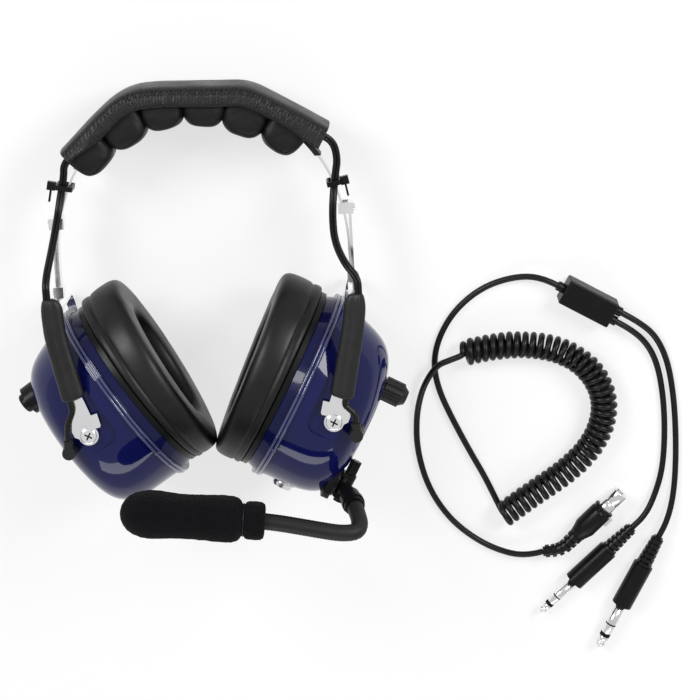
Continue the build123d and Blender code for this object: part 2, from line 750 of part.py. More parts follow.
barrel_half = fork_half_gap - barrel_gap
arm_vector = Vector(elbow_end) - tilt_centre
arm_plane = Plane(origin=tilt_centre, z_dir=arm_vector)
arm_neck = barrel_radius - barrel_gap
with BuildPart() as boom_arm:
    with BuildSketch(across.offset(boom_u - barrel_half)):
        with Locations((tilt_z, tilt_w)):
            Circle(barrel_radius)
    extrude(amount=2 * barrel_half)
    with BuildSketch(arm_plane):
        Circle(arm_neck)
    extrude(amount=arm_neck_length)
    with BuildSketch(arm_plane.offset(arm_neck_length)):
        Circle(arm_neck)
    with BuildSketch(arm_plane.offset(arm_neck_length + arm_taper_length)):
        Circle(elbow_radius)
    loft()
    with BuildSketch(arm_plane.offset(arm_neck_length + arm_taper_length)):
        Circle(elbow_radius)
    extrude(amount=arm_vector.length - arm_neck_length - arm_taper_length)
    with BuildSketch(arm_plane.offset(arm_vector.length - 2 * ferrule_length)):
        Circle(ferrule_radius)
    extrude(amount=ferrule_length)
    with BuildSketch(across.offset(boom_u - barrel_half)):
        with Locations((tilt_z, tilt_w)):
            Circle(tilt_pin_radius + running_gap)
    extrude(amount=2 * barrel_half, mode=Mode.SUBTRACT)
keep(boom_arm, "boom_arm")

fork_outside = fork_half_gap + fork_thick + face_gap
with BuildPart() as thumb_screw:
    with BuildSketch(across.offset(boom_u - fork_outside)):
        with Locations((tilt_z, tilt_w)):
            Circle(tilt_pin_radius)
    extrude(amount=2 * fork_outside)
    with BuildSketch(across.offset(boom_u + fork_outside)):
        with Locations((tilt_z, tilt_w)):
            Circle(thumb_radius)
            with PolarLocations(thumb_radius, 8):
                Circle(knob_flute_radius, mode=Mode.SUBTRACT)
    extrude(amount=thumb_length)
    with BuildSketch(across.offset(boom_u - fork_outside)):
        with Locations((tilt_z, tilt_w)):
            RegularPolygon(nut_radius, 6)
    extrude(amount=-nut_thick)
keep(thumb_screw, "thumb_screw")

muff_vector = Vector(muff_end) - Vector(neck_end)
neck_points = [
    Vector(elbow_end), Vector(elbow_end) + arm_vector.normalized() * neck_lead_in,
    *neck_bends, Vector(neck_end) - muff_vector.normalized() * neck_lead_in, Vector(neck_end),
]
parts["gooseneck"] = tube(neck_points, neck_radius)

muff_frame = Plane(origin=neck_end, x_dir=muff_vector, z_dir=(0, 0, 1))
muff_length = muff_vector.length
with BuildPart() as mic_housing:
    with BuildSketch(Plane(origin=muff_frame.origin, z_dir=muff_vector)):
        Circle(capsule_radius)
    extrude(amount=capsule_length)
    fillet(mic_housing.faces().sort_by(Axis(muff_frame.origin, muff_vector))[-1].edges(), capsule_radius / 3)
keep(mic_housing, "mic_housing")

groove_start = muff_collar_length - muff_collar_start
with BuildPart() as mic_muff:
    with BuildSketch(muff_frame):
        with BuildLine():
            edge = Polyline(
                (-muff_collar_start, neck_radius + soft_gap),
                (-muff_collar_start, muff_collar_radius - 2),
                (2 - muff_collar_start, muff_collar_radius),
                (groove_start, muff_collar_radius),
                (groove_start, muff_groove_radius),
                (groove_start + muff_groove_length, muff_groove_radius),
                (groove_start + muff_groove_length + 4, muff_radius - 0.8),
            )
            crown = Spline(
                edge @ 1,
                (muff_length * 0.55, muff_waist),
                (muff_length * 0.78, muff_radius),
                (muff_length * 0.95, muff_radius * 0.66),
                (muff_length, 0),
                tangents=[(1, 0.15), (0, -1)],
            )
            Polyline(
                crown @ 1,
                (capsule_length + soft_gap, 0),
                (capsule_length + soft_gap, capsule_radius + soft_gap),
                (-soft_gap, capsule_radius + soft_gap),
                (-soft_gap, neck_radius + soft_gap),
                edge @ 0,
            )
        make_face()
    revolve(axis=Axis(muff_frame.origin, muff_vector))
keep(mic_muff, "mic_muff")

# ---------------------------------------------------------------- lead between the cups
# from the wearer's right zip tie through the pad to the left one, and from each tie down to its sleeve
crossing_points = [
    (-74.6, 130.5, 8.2), (-73.0, 137.0, 8.6), (-72.4, 144.0, 11.0), (-66.6, 149.6, 13.5),
    (-54.0, 161.0, 13.0), (-37.0, 173.6, 13.0), (-13.5, 177.9, 13.0), (10.5, 177.3, 13.0),
    (32.0, 172.8, 13.0), (50.5, 162.6, 13.0), (65.0, 154.2, 13.5), (74.4, 149.2, 12.4),
    (76.3, 139.0, 10.0), (74.8, 131.1, 8.4), (73.9, 125.5, 8.2),
]
span_points = {
    1: [(73.9, 125.5, 8.2), (73.0, 119.9, 8.0), (71.8, 108.0, 13.5), (72.2, 96.5, 28.0), (77.0, 86.0, 41.0)],
    -1: [(-74.6, 130.5, 8.2), (-76.2, 124.0, 7.8), (-78.3, 113.0, 12.0), (-80.6, 100.0, 27.0)],
}
span_drop = {1: 8.5, -1: 10.0}
tail_turns = {1: (3.4, 5.2), -1: (5.0, 8.0)}     # straight runs out of the sleeve and into the boot
print("crossing lead radii", [round(radius) for radius in corner_radii(crossing_points)])
parts["crossing_lead"] = tube(crossing_points, lead_radius)
for name, side in SIDES.items():
    bottom, _, top = sleeve_route(side, lead_shift, lead_z)
    boot_origin = cup_plane(side).from_local_coords((boot_u, 0, boot_w))
    boot_mouth = Vector(boot_origin.X, boot_origin.Y + boot_nose_length, boot_nose_z)
    span = [*[Vector(*point) for point in span_points[side]], top + Vector(0, span_drop[side], 0), top]
    down, up = tail_turns[side]
    tail = [bottom, bottom - arm_direction(side) * down, boot_mouth + Vector(0, up, 0), boot_mouth]
    for kind, points in (("span", span), ("tail", tail)):
        print(kind, name, "radii", [round(radius) for radius in corner_radii(points)])
        parts[f"lead_{kind}_{name}"] = tube(points, lead_radius)

# zip ties round the band and the lead
with BuildPart() as zip_ties:
    for side in SIDES.values():
        x, band_lean = band_point(tie_y[side])
        lean_back = radians(band_lean / 2)      # between the band's lean and the lead's
        inboard = -band_thick / 2 - tie_gap if tie_reach[side] else -lead_radius - tie_gap
        outboard = tie_reach[side] + lead_radius + tie_gap
        near, far = -band_width / 2 - tie_gap, crossing_points[0][2] + lead_radius + tie_gap
        ring = Plane(
            origin=(side * x, tie_y[side], 0), x_dir=(0, 0, 1),
            z_dir=(side * sin(lean_back), -cos(lean_back), 0),
        )
        # in the ring's plane, y runs inboard on the left side and outboard on the right one
        low, high = sorted((-side * inboard, -side * outboard))
        with BuildSketch(ring.offset(-tie_width / 2)):
            with Locations(((near + far) / 2, (low + high) / 2)):
                RectangleRounded(far - near + 2 * tie_thick, high - low + 2 * tie_thick, tie_thick)
                Rectangle(far - near, high - low, mode=Mode.SUBTRACT)
        extrude(amount=tie_width)
        head = -side * (outboard + tie_thick + tie_head / 2)
        with BuildSketch(ring.offset(-tie_head / 2)):
            with Locations((far - tie_head, head)):
                Rectangle(tie_head, tie_head)
        extrude(amount=tie_head)
        with BuildSketch(ring.offset(tie_head / 2)):
            with Locations((far - tie_head, head)):
                Rectangle(tie_width, tie_thick)
        extrude(amount=tie_tail)
keep(zip_ties, "zip_ties")

# ---------------------------------------------------------------- laying the headset down
LYING_PADS = ("pad_cover", "pad_cushion")
LYING_CUPS = ("outer_shell_left", "outer_shell_right", "inner_shell_left", "inner_shell_right",
              "pivot_screws_left", "pivot_screws_right")


def lowest(names, droop):
    tilt = Rotation(-droop, 0, 0)
    return min((tilt * parts[name]).bounding_box().min.Z for name in names)


# the droop at which the cups and the pad both touch the table
low_droop, high_droop = 6.0, 9.0
lift_low, lift_high = (lowest(LYING_PADS, d) - lowest(LYING_CUPS, d) for d in (low_droop, high_droop))
droop = low_droop + (high_droop - low_droop) * lift_low / (lift_low - lift_high)
tilted = Rotation(-droop, 0, 0)
box = Compound(children=[tilted * shape for shape in parts.values()]).bounding_box()
lying = Pos(-(box.min.X + box.max.X) / 2, -(box.min.Y + box.max.Y) / 2, -box.min.Z) * tilted
parts = {name: (lying * shape) for name, shape in parts.items()}
print("droop", round(droop, 3), "box", box.size, "lying", lying)

# ---------------------------------------------------------------- cord set, on the table
# A plug for the headset's jack, a curly lead, a junction box and the two plugs for the aircraft's panel
cord_radius = 1.8
cord_rest = cord_radius
coil_radius = 8.0
xlr_direction = Vector(0.725, 0.689, 0).normalized()
xlr_joint = Vector(203.0, -172.0, 6.6)      # where the boot meets the plug's barrel
xlr_barrel_radius = 6.6
xlr_tail_radius = 4.6
xlr_barrel_length, xlr_tail_length = 17.0, 7.0
xlr_nose_radius, xlr_nose_length = 4.75, 13.0
xlr_nose_bore, xlr_nose_recess = 3.9, 3.0
latch_long, latch_wide, latch_deep, latch_stand = 6.0, 4.0, 3.0, 1.4
latch_from_nose = 2.0
box_long, box_wide, box_high = 32.0, 15.0, 13.0
box_centre = Vector(213.5, -28.0, box_high / 2)
box_direction = Vector(0.853, -0.522, 0).normalized()
box_exit_gap = 3.0                          # half the distance between the two leads that leave it
grommet_radius, grommet_length = 2.8, 4.0
barrel_plug_radius, barrel_plug_length = 6.0, 28.0
plug_height = 6.0
boot_length = 19.5
boot_core_radius = 2.9
boot_ribs = 6
plugs = {                                   # end of its lead, direction, shaft radius and length
    "mic_plug": (Vector(236.0, -169.0, plug_height), Vector(-0.736, -0.677, 0).normalized(), 2.615, 27.5),
    "phone_plug": (Vector(251.4, -176.0, plug_height), Vector(-0.474, -0.881, 0).normalized(), 3.175, 30.5),
}


def frame_along(origin, direction):
    """A plane across a level direction: x to its side, y up."""
    return Plane(origin=origin, x_dir=(-direction.Y, direction.X, 0), z_dir=direction)


def ribbed_boot(points, thick_radius, thin_radius):
    """A strain relief with ribs, thickest at the route's start."""
    with BuildPart(mode=Mode.PRIVATE) as made:
        add(tube(points, boot_core_radius))
        with BuildLine() as route:
            if len(points) > 2:
                FilletPolyline(*points, radius=corner_radii(points))
            else:
                Line(*points)
        pitch = route.wires()[0].length / boot_ribs
        for rib in range(boot_ribs):
            start = rib / boot_ribs
            plane = Plane(origin=route.line @ start, z_dir=route.line % start)
            with BuildSketch(plane):
                Circle(thick_radius + (thin_radius - thick_radius) * start)
            extrude(amount=pitch * 0.62)
    return made.part


side_way = Vector(xlr_direction.Y, -xlr_direction.X, 0)
xlr_back = frame_along(xlr_joint, xlr_direction)
xlr_face = xlr_back.offset(xlr_tail_length + xlr_barrel_length)
latch_origin = xlr_face.origin - xlr_direction * latch_from_nose + side_way * xlr_barrel_radius
latch_plane = Plane(origin=latch_origin, x_dir=-xlr_direction, z_dir=side_way)
with BuildPart() as plug_shell:
    with BuildSketch(xlr_back):
        Circle(xlr_tail_radius)
    with BuildSketch(xlr_back.offset(xlr_tail_length)):
        Circle(xlr_barrel_radius)
    loft()
    with BuildSketch(xlr_back.offset(xlr_tail_length)):
        Circle(xlr_barrel_radius)
    extrude(amount=xlr_barrel_length)
    with BuildSketch(xlr_face):
        Circle(xlr_nose_radius)
    extrude(amount=xlr_nose_length)
    with BuildSketch(xlr_face.offset(xlr_nose_length)):
        Circle(xlr_nose_bore)
    extrude(amount=-xlr_nose_recess, mode=Mode.SUBTRACT)
    with BuildSketch(latch_plane.offset(-latch_deep)):
        with Locations((latch_long / 2, 0)):
            Rectangle(latch_long + 2 * face_gap, latch_wide + 2 * face_gap)
    extrude(amount=2 * latch_deep, mode=Mode.SUBTRACT)
with BuildPart() as plug_latch:
    with BuildSketch(latch_plane.offset(latch_stand)):
        with Locations((latch_long / 2, 0)):
            Rectangle(latch_long, latch_wide)
    extrude(amount=-(latch_stand + latch_deep - 1.2))
parts["plug_shell"], parts["plug_latch"] = plug_shell.part, plug_latch.part

xlr_boot_points = [xlr_joint, xlr_joint - xlr_direction * 12, xlr_joint + Vector(-19.6, -8.9, 0)]
with BuildPart() as plug_boots:
    add(ribbed_boot(xlr_boot_points, xlr_tail_radius, 3.6))
    for end, direction, _, _ in plugs.values():
        start = end + direction * boot_length
        add(ribbed_boot([start, end], 4.8, 3.6))
parts["plug_boots"] = plug_boots.part

with BuildPart() as plug_barrels:
    for end, direction, _, _ in plugs.values():
        with BuildSketch(frame_along(end + direction * boot_length, direction)):
            Circle(barrel_plug_radius)
        extrude(amount=barrel_plug_length)
parts["plug_barrels"] = plug_barrels.part

for name, (end, direction, radius, length) in plugs.items():
    start = end + direction * (boot_length + barrel_plug_length)
    with BuildPart() as plug:
        with BuildSketch(Plane(origin=start, x_dir=direction, z_dir=(0, 0, 1))):
            with BuildLine():
                Polyline(
                    (0, 0), (0, radius), (length - 3.4 * radius, radius), (length - 3.2 * radius, radius * 0.86),
                    (length - 2.6 * radius, radius * 0.86), (length - 2.4 * radius, radius),
                    (length - 1.9 * radius, radius), (length - 1.6 * radius, radius * 0.6),
                    (length - 1.0 * radius, radius * 0.96), (length - 0.5 * radius, radius * 0.75),
                    (length, radius * 0.2), (length, 0), close=True,
                )
            make_face()
        revolve(axis=Axis(start, direction))
    parts[name] = plug.part

box_plane = Plane(origin=box_centre, x_dir=box_direction, z_dir=(0, 0, 1))
with BuildPart() as junction_box:
    with BuildSketch(box_plane.offset(-box_high / 2)):
        Rectangle(box_long, box_wide)
    extrude(amount=box_high)
    fillet(junction_box.edges(), 1.0)
    for way, offsets in ((-1, (0,)), (1, (-box_exit_gap, box_exit_gap))):
        for offset in offsets:
            mouth = box_plane.from_local_coords((way * (box_long / 2 - 1), offset, 0))
            with BuildSketch(frame_along(mouth, box_direction * way)):
                Circle(grommet_radius)
            extrude(amount=grommet_length + 1)
parts["junction_box"] = junction_box.part

coil_start = Vector(141.0, -54.6, coil_radius)
coil_way = Vector(16.0, 3.1, 0).normalized()
xlr_exit = xlr_boot_points[-1]
xlr_exit_way = (xlr_exit - xlr_boot_points[-2]).normalized()

# Hand-chosen points of the cords' routes over the table
exits = [box_plane.from_local_coords((way * (box_long / 2 + grommet_length), offset, 0)) for way, offset in
         ((-1, 0), (1, -box_exit_gap), (1, box_exit_gap))]
cord_routes = {
    "cord_lead_a": [
        xlr_exit, xlr_exit + xlr_exit_way * 11.4, (156.0, -179.5, 3.0), (141.0, -170.0, 1.8),
        (128.0, -156.5, 1.8), (117.5, -137.0, 1.8), (112.5, -114.0, 1.8), (113.0, -94.0, 2.6),
        (116.0, -79.0, 6.0), (120.0, -69.0, 8.6), (126.0, -60.5, 8.6), coil_start - coil_way * 7.1, coil_start,
    ],
    "cord_lead_b": [
        (158.1, -148.25, 4.0), (151.0, -133.0, 2.2), (143.5, -118.0, 1.8), (133.5, -96.0, 1.8),
        (126.5, -78.0, 1.8), (124.2, -62.0, 1.8), (128.0, -46.0, 1.8), (138.0, -30.0, 1.8),
        (154.0, -17.5, 1.8), (172.0, -11.8, 3.5), exits[0] - box_direction * 11, exits[0],
    ],
    "cord_lead_c": [
        exits[1], exits[1] + box_direction * 10, (247.0, -56.5, 3.0), (253.0, -70.0, 1.8),
        (256.0, -90.0, 1.8), (256.6, -112.0, 1.8), (255.0, -134.0, 1.8), (250.5, -149.0, 3.2),
        plugs["mic_plug"][0] - plugs["mic_plug"][1] * 11, plugs["mic_plug"][0],
    ],
    "cord_lead_d": [
        exits[2], exits[2] + box_direction * 11, (252.0, -52.0, 3.0), (258.8, -68.0, 1.8),
        (262.0, -90.0, 1.8), (263.0, -114.0, 1.8), (262.4, -138.0, 1.8), (260.2, -155.0, 3.2),
        plugs["phone_plug"][0] - plugs["phone_plug"][1] * 10, plugs["phone_plug"][0],
    ],
    "cord_coil": [
        coil_start, coil_start + coil_way * 16.3, (177.0, -51.0, 8.0), (197.0, -55.5, 8.0), (213.0, -67.0, 8.0),
        (221.5, -84.0, 8.0), (220.5, -102.0, 8.0), (211.5, -118.5, 8.0), (196.5, -132.0, 8.0),
        (179.0, -143.0, 8.0), (160.5, -156.0, 8.0),
    ],
}
for name, points in cord_routes.items():
    radius = coil_radius if name == "cord_coil" else cord_radius
    parts[name] = tube(points, radius)
    length = parts[name].volume / (3.14159 * radius**2)
    print(name, "radii", [round(corner) for corner in corner_radii(points)], "length", round(length, 1))

for name, shape in parts.items():
    shape.label = name
    export_step(shape, f"parts/{name}.step")
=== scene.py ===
"""The aviation headset and its cord set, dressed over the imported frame."""
import json
import math

import bpy
from mathutils import Matrix, Vector, noise


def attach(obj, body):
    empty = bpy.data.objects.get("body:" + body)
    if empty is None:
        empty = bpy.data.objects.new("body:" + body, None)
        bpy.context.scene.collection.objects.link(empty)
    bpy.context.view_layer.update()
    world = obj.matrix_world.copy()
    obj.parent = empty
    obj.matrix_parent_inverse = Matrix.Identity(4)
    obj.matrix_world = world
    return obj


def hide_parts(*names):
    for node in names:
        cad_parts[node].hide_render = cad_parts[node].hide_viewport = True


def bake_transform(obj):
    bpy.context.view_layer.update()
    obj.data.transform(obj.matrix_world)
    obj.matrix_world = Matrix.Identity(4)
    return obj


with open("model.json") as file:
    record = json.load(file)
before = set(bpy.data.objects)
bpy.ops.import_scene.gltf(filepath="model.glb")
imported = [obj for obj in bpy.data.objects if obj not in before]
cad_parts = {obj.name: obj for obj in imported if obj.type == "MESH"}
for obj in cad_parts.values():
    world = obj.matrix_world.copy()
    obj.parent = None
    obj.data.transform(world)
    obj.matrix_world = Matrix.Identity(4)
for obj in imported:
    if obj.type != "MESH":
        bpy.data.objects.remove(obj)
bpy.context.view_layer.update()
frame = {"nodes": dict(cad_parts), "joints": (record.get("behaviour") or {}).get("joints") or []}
nodes = frame["nodes"]
joints = {joint["name"]: joint for joint in frame["joints"]}
MM = 0.001

# ---------------------------------------------------------------- frames
# The worn frame: millimetres from the middle of the two pivots,
# x to the wearer's left, y to the crown, z forward
left_pivot = Vector(joints["cup_left_swing"]["pos_m"])
right_pivot = Vector(joints["cup_right_swing"]["pos_m"])
forward = Vector(joints["cup_left_swing"]["axis"]).normalized()
across = (left_pivot - right_pivot).normalized()
crown = forward.cross(across).normalized()
WORN = Matrix.Translation((left_pivot + right_pivot) / 2)
WORN = WORN @ Matrix((across, crown, forward)).transposed().to_4x4() @ Matrix.Scale(MM, 4)

SIDES = {"left": 1, "right": -1}
CUP_TILT = {1: math.radians(28.9), -1: math.radians(33.6)}      # how far each cup is folded in
PIVOT_SPAN = 66.5                   # from the middle to a pivot
PIVOT_U, PIVOT_W = -2.0, 23.0       # the pivot in the cup's own frame


def worn(x, y, z):
    return WORN @ Vector((x, y, z))


def worn_way(x, y, z):
    return (WORN.to_3x3() @ Vector((x, y, z))).normalized()


def cup_frame(side):
    """From a cup's own millimetres to the row: x up the cup, z outward, origin at the centre of its seam."""
    tilt = CUP_TILT[side]
    up = Vector((side * math.sin(tilt), math.cos(tilt), 0))
    out = Vector((side * math.cos(tilt), -math.sin(tilt), 0))
    origin = Vector((side * PIVOT_SPAN, 0, 0)) - up * PIVOT_U - out * PIVOT_W
    return WORN @ Matrix.Translation(origin) @ Matrix((up, out.cross(up), out)).transposed().to_4x4()


# ---------------------------------------------------------------- camera
LOOK_DOWN, ROLL, DISTANCE = math.radians(11), math.radians(3.2), 1.5
LENS, SENSOR = 139.0, 36.0
aim = worn(77.3, 30.7, 0)
toward = worn_way(0, math.sin(LOOK_DOWN), math.cos(LOOK_DOWN))
level = worn_way(1, 0, 0)
upright = toward.cross(level)
right = level * math.cos(ROLL) - upright * math.sin(ROLL)
up = level * math.sin(ROLL) + upright * math.cos(ROLL)
camera_data = bpy.data.cameras.new("camera")
camera_data.lens, camera_data.sensor_width = LENS, SENSOR
camera = bpy.data.objects.new("camera", camera_data)
bpy.context.scene.collection.objects.link(camera)
facing = Matrix((right, up, toward)).transposed().to_4x4()
camera.matrix_world = Matrix.Translation(aim + toward * DISTANCE) @ facing
bpy.context.scene.camera = camera
bpy.context.scene.view_settings.view_transform = "Standard"


# ---------------------------------------------------------------- materials
def finish_of(name, colours, roughness, bumps=(), metallic=0.0, mottle=120.0, patchy=60.0,
              coat=0.0, coat_rough=0.08, sheen=0.0, specular=0.5):
    """A node material: mottled colour, uneven roughness and layers of bump, sized in metres."""
    material = bpy.data.materials.new(name)
    material.use_nodes = True
    tree = material.node_tree
    shader = tree.nodes["Principled BSDF"]
    link = tree.links.new
    place = tree.nodes.new("ShaderNodeTexCoord").outputs["Object"]

    def cloud(scale, detail=3.0):
        node = tree.nodes.new("ShaderNodeTexNoise")
        node.inputs["Scale"].default_value = scale
        node.inputs["Detail"].default_value = detail
        link(place, node.inputs["Vector"])
        return node.outputs["Fac"]

    mix = tree.nodes.new("ShaderNodeMix")
    mix.data_type = "RGBA"
    mix.inputs["A"].default_value = (*colours[0], 1)
    mix.inputs["B"].default_value = (*colours[1], 1)
    link(cloud(mottle), mix.inputs["Factor"])
    link(mix.outputs["Result"], shader.inputs["Base Color"])
    spread = tree.nodes.new("ShaderNodeMapRange")
    spread.inputs["From Min"].default_value, spread.inputs["From Max"].default_value = 0.3, 0.7
    spread.inputs["To Min"].default_value, spread.inputs["To Max"].default_value = roughness
    link(cloud(patchy), spread.inputs["Value"])
    link(spread.outputs["Result"], shader.inputs["Roughness"])
    shader.inputs["Metallic"].default_value = metallic
    shader.inputs["Specular IOR Level"].default_value = specular
    shader.inputs["Coat Weight"].default_value = coat
    shader.inputs["Coat Roughness"].default_value = coat_rough
    shader.inputs["Sheen Weight"].default_value = sheen
    last = None
    for kind, scale, strength, depth in bumps:
        if kind in ("cells", "pores"):
            texture = tree.nodes.new("ShaderNodeTexVoronoi")
            if kind == "cells":
                texture.feature = "DISTANCE_TO_EDGE"
            texture.inputs["Scale"].default_value = scale
            link(place, texture.inputs["Vector"])
            height = texture.outputs["Distance"]
        elif kind == "brush":
            stretch = tree.nodes.new("ShaderNodeMapping")
            stretch.inputs["Scale"].default_value = (1.0, 0.03, 1.0)
            link(place, stretch.inputs["Vector"])
            texture = tree.nodes.new("ShaderNodeTexNoise")
            texture.inputs["Scale"].default_value = scale
            link(stretch.outputs["Vector"], texture.inputs["Vector"])
            height = texture.outputs["Fac"]
        else:
            height = cloud(scale, 4.0)
        bump = tree.nodes.new("ShaderNodeBump")
        bump.inputs["Strength"].default_value = strength
        bump.inputs["Distance"].default_value = depth
        link(height, bump.inputs["Height"])
        if last:
            link(last, bump.inputs["Normal"])
        last = bump.outputs["Normal"]
    if last:
        link(last, shader.inputs["Normal"])
    return material


LEATHER = finish_of("grained_leather", ((0.0018, 0.0018, 0.0022), (0.0050, 0.0050, 0.0056)), (0.34, 0.50),
                    [("cells", 560, 0.50, 0.0004), ("clouds", 170, 0.40, 0.0008),
                     ("clouds", 1500, 0.15, 0.0001)],
                    mottle=90, specular=0.30)
LOBE_LEATHER = finish_of("lobe_leather", ((0.0018, 0.0018, 0.0024), (0.0045, 0.0045, 0.0055)), (0.42, 0.58),
                         [("cells", 900, 0.25, 0.0002), ("clouds", 110, 0.40, 0.0009)], specular=0.24)
VINYL = finish_of("seal_vinyl", ((0.0025, 0.0025, 0.0028), (0.0060, 0.0060, 0.0066)), (0.34, 0.46),
                  [("cells", 1100, 0.14, 0.00012), ("clouds", 60, 0.25, 0.0010)], mottle=60, specular=0.30)
FOAM = finish_of("open_foam", ((0.0020, 0.0020, 0.0026), (0.0080, 0.0080, 0.0095)), (0.90, 1.0),
                 [("pores", 1300, 0.9, 0.0006), ("clouds", 350, 0.6, 0.0006)],
                 mottle=900, specular=0.06, sheen=0.03)
NAVY = finish_of("navy_shell", ((0.0035, 0.0050, 0.060), (0.0050, 0.0070, 0.074)), (0.10, 0.16),
                 [("clouds", 45, 0.05, 0.0006)], mottle=40, coat=0.55, coat_rough=0.03, specular=0.06)
# the beads are a lighter navy than the shells' own colour: a painted highlight along the seam
BEAD = finish_of("bead_painted_highlight", ((0.030, 0.034, 0.110), (0.045, 0.050, 0.140)), (0.08, 0.14),
                 [("clouds", 80, 0.04, 0.0004)], coat=1.0, coat_rough=0.03, specular=0.5)
NAVY_INNER = finish_of("navy_inner", ((0.0030, 0.0045, 0.042), (0.0045, 0.0060, 0.052)), (0.16, 0.24),
                       [("clouds", 60, 0.06, 0.0005)], mottle=40, coat=0.35, coat_rough=0.05, specular=0.06)
PLASTIC = finish_of("black_plastic", ((0.0025, 0.0025, 0.0030), (0.0065, 0.0065, 0.0072)), (0.26, 0.42),
                    [("clouds", 900, 0.18, 0.00012), ("clouds", 90, 0.08, 0.0004)], mottle=200, specular=0.16)
RUBBER = finish_of("sleeve_rubber", ((0.0055, 0.0055, 0.0060), (0.0110, 0.0110, 0.0120)), (0.36, 0.50),
                   [("clouds", 1200, 0.16, 0.0001), ("clouds", 60, 0.12, 0.0006)], mottle=150, specular=0.30)
JACKET = finish_of("cord_jacket", ((0.0025, 0.0025, 0.0028), (0.0060, 0.0060, 0.0066)), (0.26, 0.40),
                   [("clouds", 900, 0.12, 0.0001)], mottle=150, specular=0.24)
NECK = finish_of("gooseneck_cover", ((0.0060, 0.0060, 0.0064), (0.0110, 0.0110, 0.0120)), (0.42, 0.56),
                 [("clouds", 800, 0.2, 0.00014)], mottle=100, specular=0.28)
STEEL = finish_of("brushed_steel", ((0.84, 0.85, 0.87), (0.96, 0.97, 0.98)), (0.20, 0.34),
                  [("brush", 1800, 0.16, 0.0001)], metallic=1.0)
CHROME = finish_of("plated_steel", ((0.93, 0.93, 0.95), (0.98, 0.98, 0.99)), (0.10, 0.22),
                   [("clouds", 260, 0.06, 0.0002)], metallic=1.0)
NICKEL = finish_of("plug_nickel", ((0.76, 0.76, 0.76), (0.88, 0.87, 0.86)), (0.12, 0.22),
                   [("clouds", 500, 0.05, 0.0001)], metallic=1.0)
# dark finish: painted shade in the screws' cross recesses, and the plugs' own dark insulating rings
DARK = finish_of("recess_shade_and_plug_insulator", ((0.002, 0.002, 0.002), (0.006, 0.006, 0.006)), (0.6, 0.8), specular=0.15)
THREAD = finish_of("thread", ((0.006, 0.006, 0.006), (0.022, 0.022, 0.022)), (0.5, 0.7),
                   [("clouds", 3000, 0.5, 0.0001)], specular=0.3)


# ---------------------------------------------------------------- making pieces
def piece(name, vertices, faces, material, smooth=True):
    mesh = bpy.data.meshes.new(name)
    mesh.from_pydata([tuple(vertex) for vertex in vertices], [], faces)
    mesh.validate()
    for face in mesh.polygons:
        face.use_smooth = smooth
    mesh.materials.append(material)
    made = bpy.data.objects.new(name, mesh)
    bpy.context.scene.collection.objects.link(made)
    return made


def skin(rings, around=False, start_cap=True, end_cap=True):
    """Vertices and faces of closed rings joined in a row, or in a loop with around=True."""
    size = len(rings[0])
    vertices = [point for ring in rings for point in ring]
    faces = []
    for row in range(len(rings) if around else len(rings) - 1):
        here, there = row * size, (row + 1) % len(rings) * size
        faces += [(here + k, here + (k + 1) % size, there + (k + 1) % size, there + k) for k in range(size)]
    if not around and start_cap:
        faces.append(tuple(reversed(range(size))))
    if not around and end_cap:
        faces.append(tuple(range(len(vertices) - size, len(vertices))))
    return vertices, faces


def add_skin(vertices, faces, rings):
    """Adds one more closed skin to the vertices and faces of a piece made of several."""
    more_vertices, more_faces = skin(rings)
    base = len(vertices)
    vertices += more_vertices
    faces += [tuple(base + index for index in face) for face in more_faces]


def turns(count):
    """Evenly spaced angles round a circle."""
    return [math.tau * step / count for step in range(count)]


def signed_power(value, power):
    return math.copysign(abs(value) ** power, value)


def rounder(made):
    subdivide = made.modifiers.new("rounder", "SUBSURF")
    subdivide.levels = subdivide.render_levels = 1


def side_axes(way):
    """Two unit vectors square to a direction."""
    side = way.cross(Vector((0, 0, 1)))
    side = side.normalized() if side.length > 0.1 else way.cross(Vector((0, 1, 0))).normalized()
    return side, side.cross(way)


def lathe(name, start, way, profile, material, segments=40, swell=None):
    """A turned piece from (distance, radius) pairs in metres; swell(distance, angle) adds to the radius."""
    side, upward = side_axes(way)
    rings = []
    for distance, radius in profile:
        ring = []
        for angle in turns(segments):
            reach = radius + (swell(distance, angle) if swell else 0)
            ring.append(start + way * distance + (side * math.cos(angle) + upward * math.sin(angle)) * reach)
        rings.append(ring)
    return piece(name, *skin(rings), material)


def spline(name, points, radius=0.0, resolution=10):
    curve = bpy.data.curves.new(name, "CURVE")
    curve.dimensions = "3D"
    line = curve.splines.new("NURBS")
    line.points.add(len(points) - 1)
    for target, point in zip(line.points, points):
        target.co = (*point, 1)
    line.order_u = 3
    line.use_endpoint_u = True
    curve.resolution_u = resolution
    curve.bevel_depth, curve.bevel_resolution = radius, 4
    curve.use_fill_caps = radius > 0
    made = bpy.data.objects.new(name, curve)
    bpy.context.scene.collection.objects.link(made)
    return made


def centreline(points):
    """Points along the smooth line of a route's control points, in any unit."""
    curve = spline("route", points)
    bpy.context.view_layer.update()
    mesh = bpy.data.meshes.new_from_object(curve)
    line = [vertex.co.copy() for vertex in mesh.vertices]
    bpy.data.meshes.remove(mesh)
    bpy.data.curves.remove(curve.data)
    return line


def stations(line, count):
    """(point, direction, distance) at even distances along a line."""
    lengths = [0.0]
    for first, second in zip(line, line[1:]):
        lengths.append(lengths[-1] + (second - first).length)
    found, index = [], 0
    for step in range(count):
        distance = lengths[-1] * step / (count - 1)
        while index < len(line) - 2 and lengths[index + 1] < distance:
            index += 1
        span = max(lengths[index + 1] - lengths[index], 1e-9)
        share = (distance - lengths[index]) / span
        before = line[max(index - 1, 0)]
        after = line[min(index + 2, len(line) - 1)]
        found.append((line[index].lerp(line[index + 1], share), (after - before).normalized(), distance))
    return found


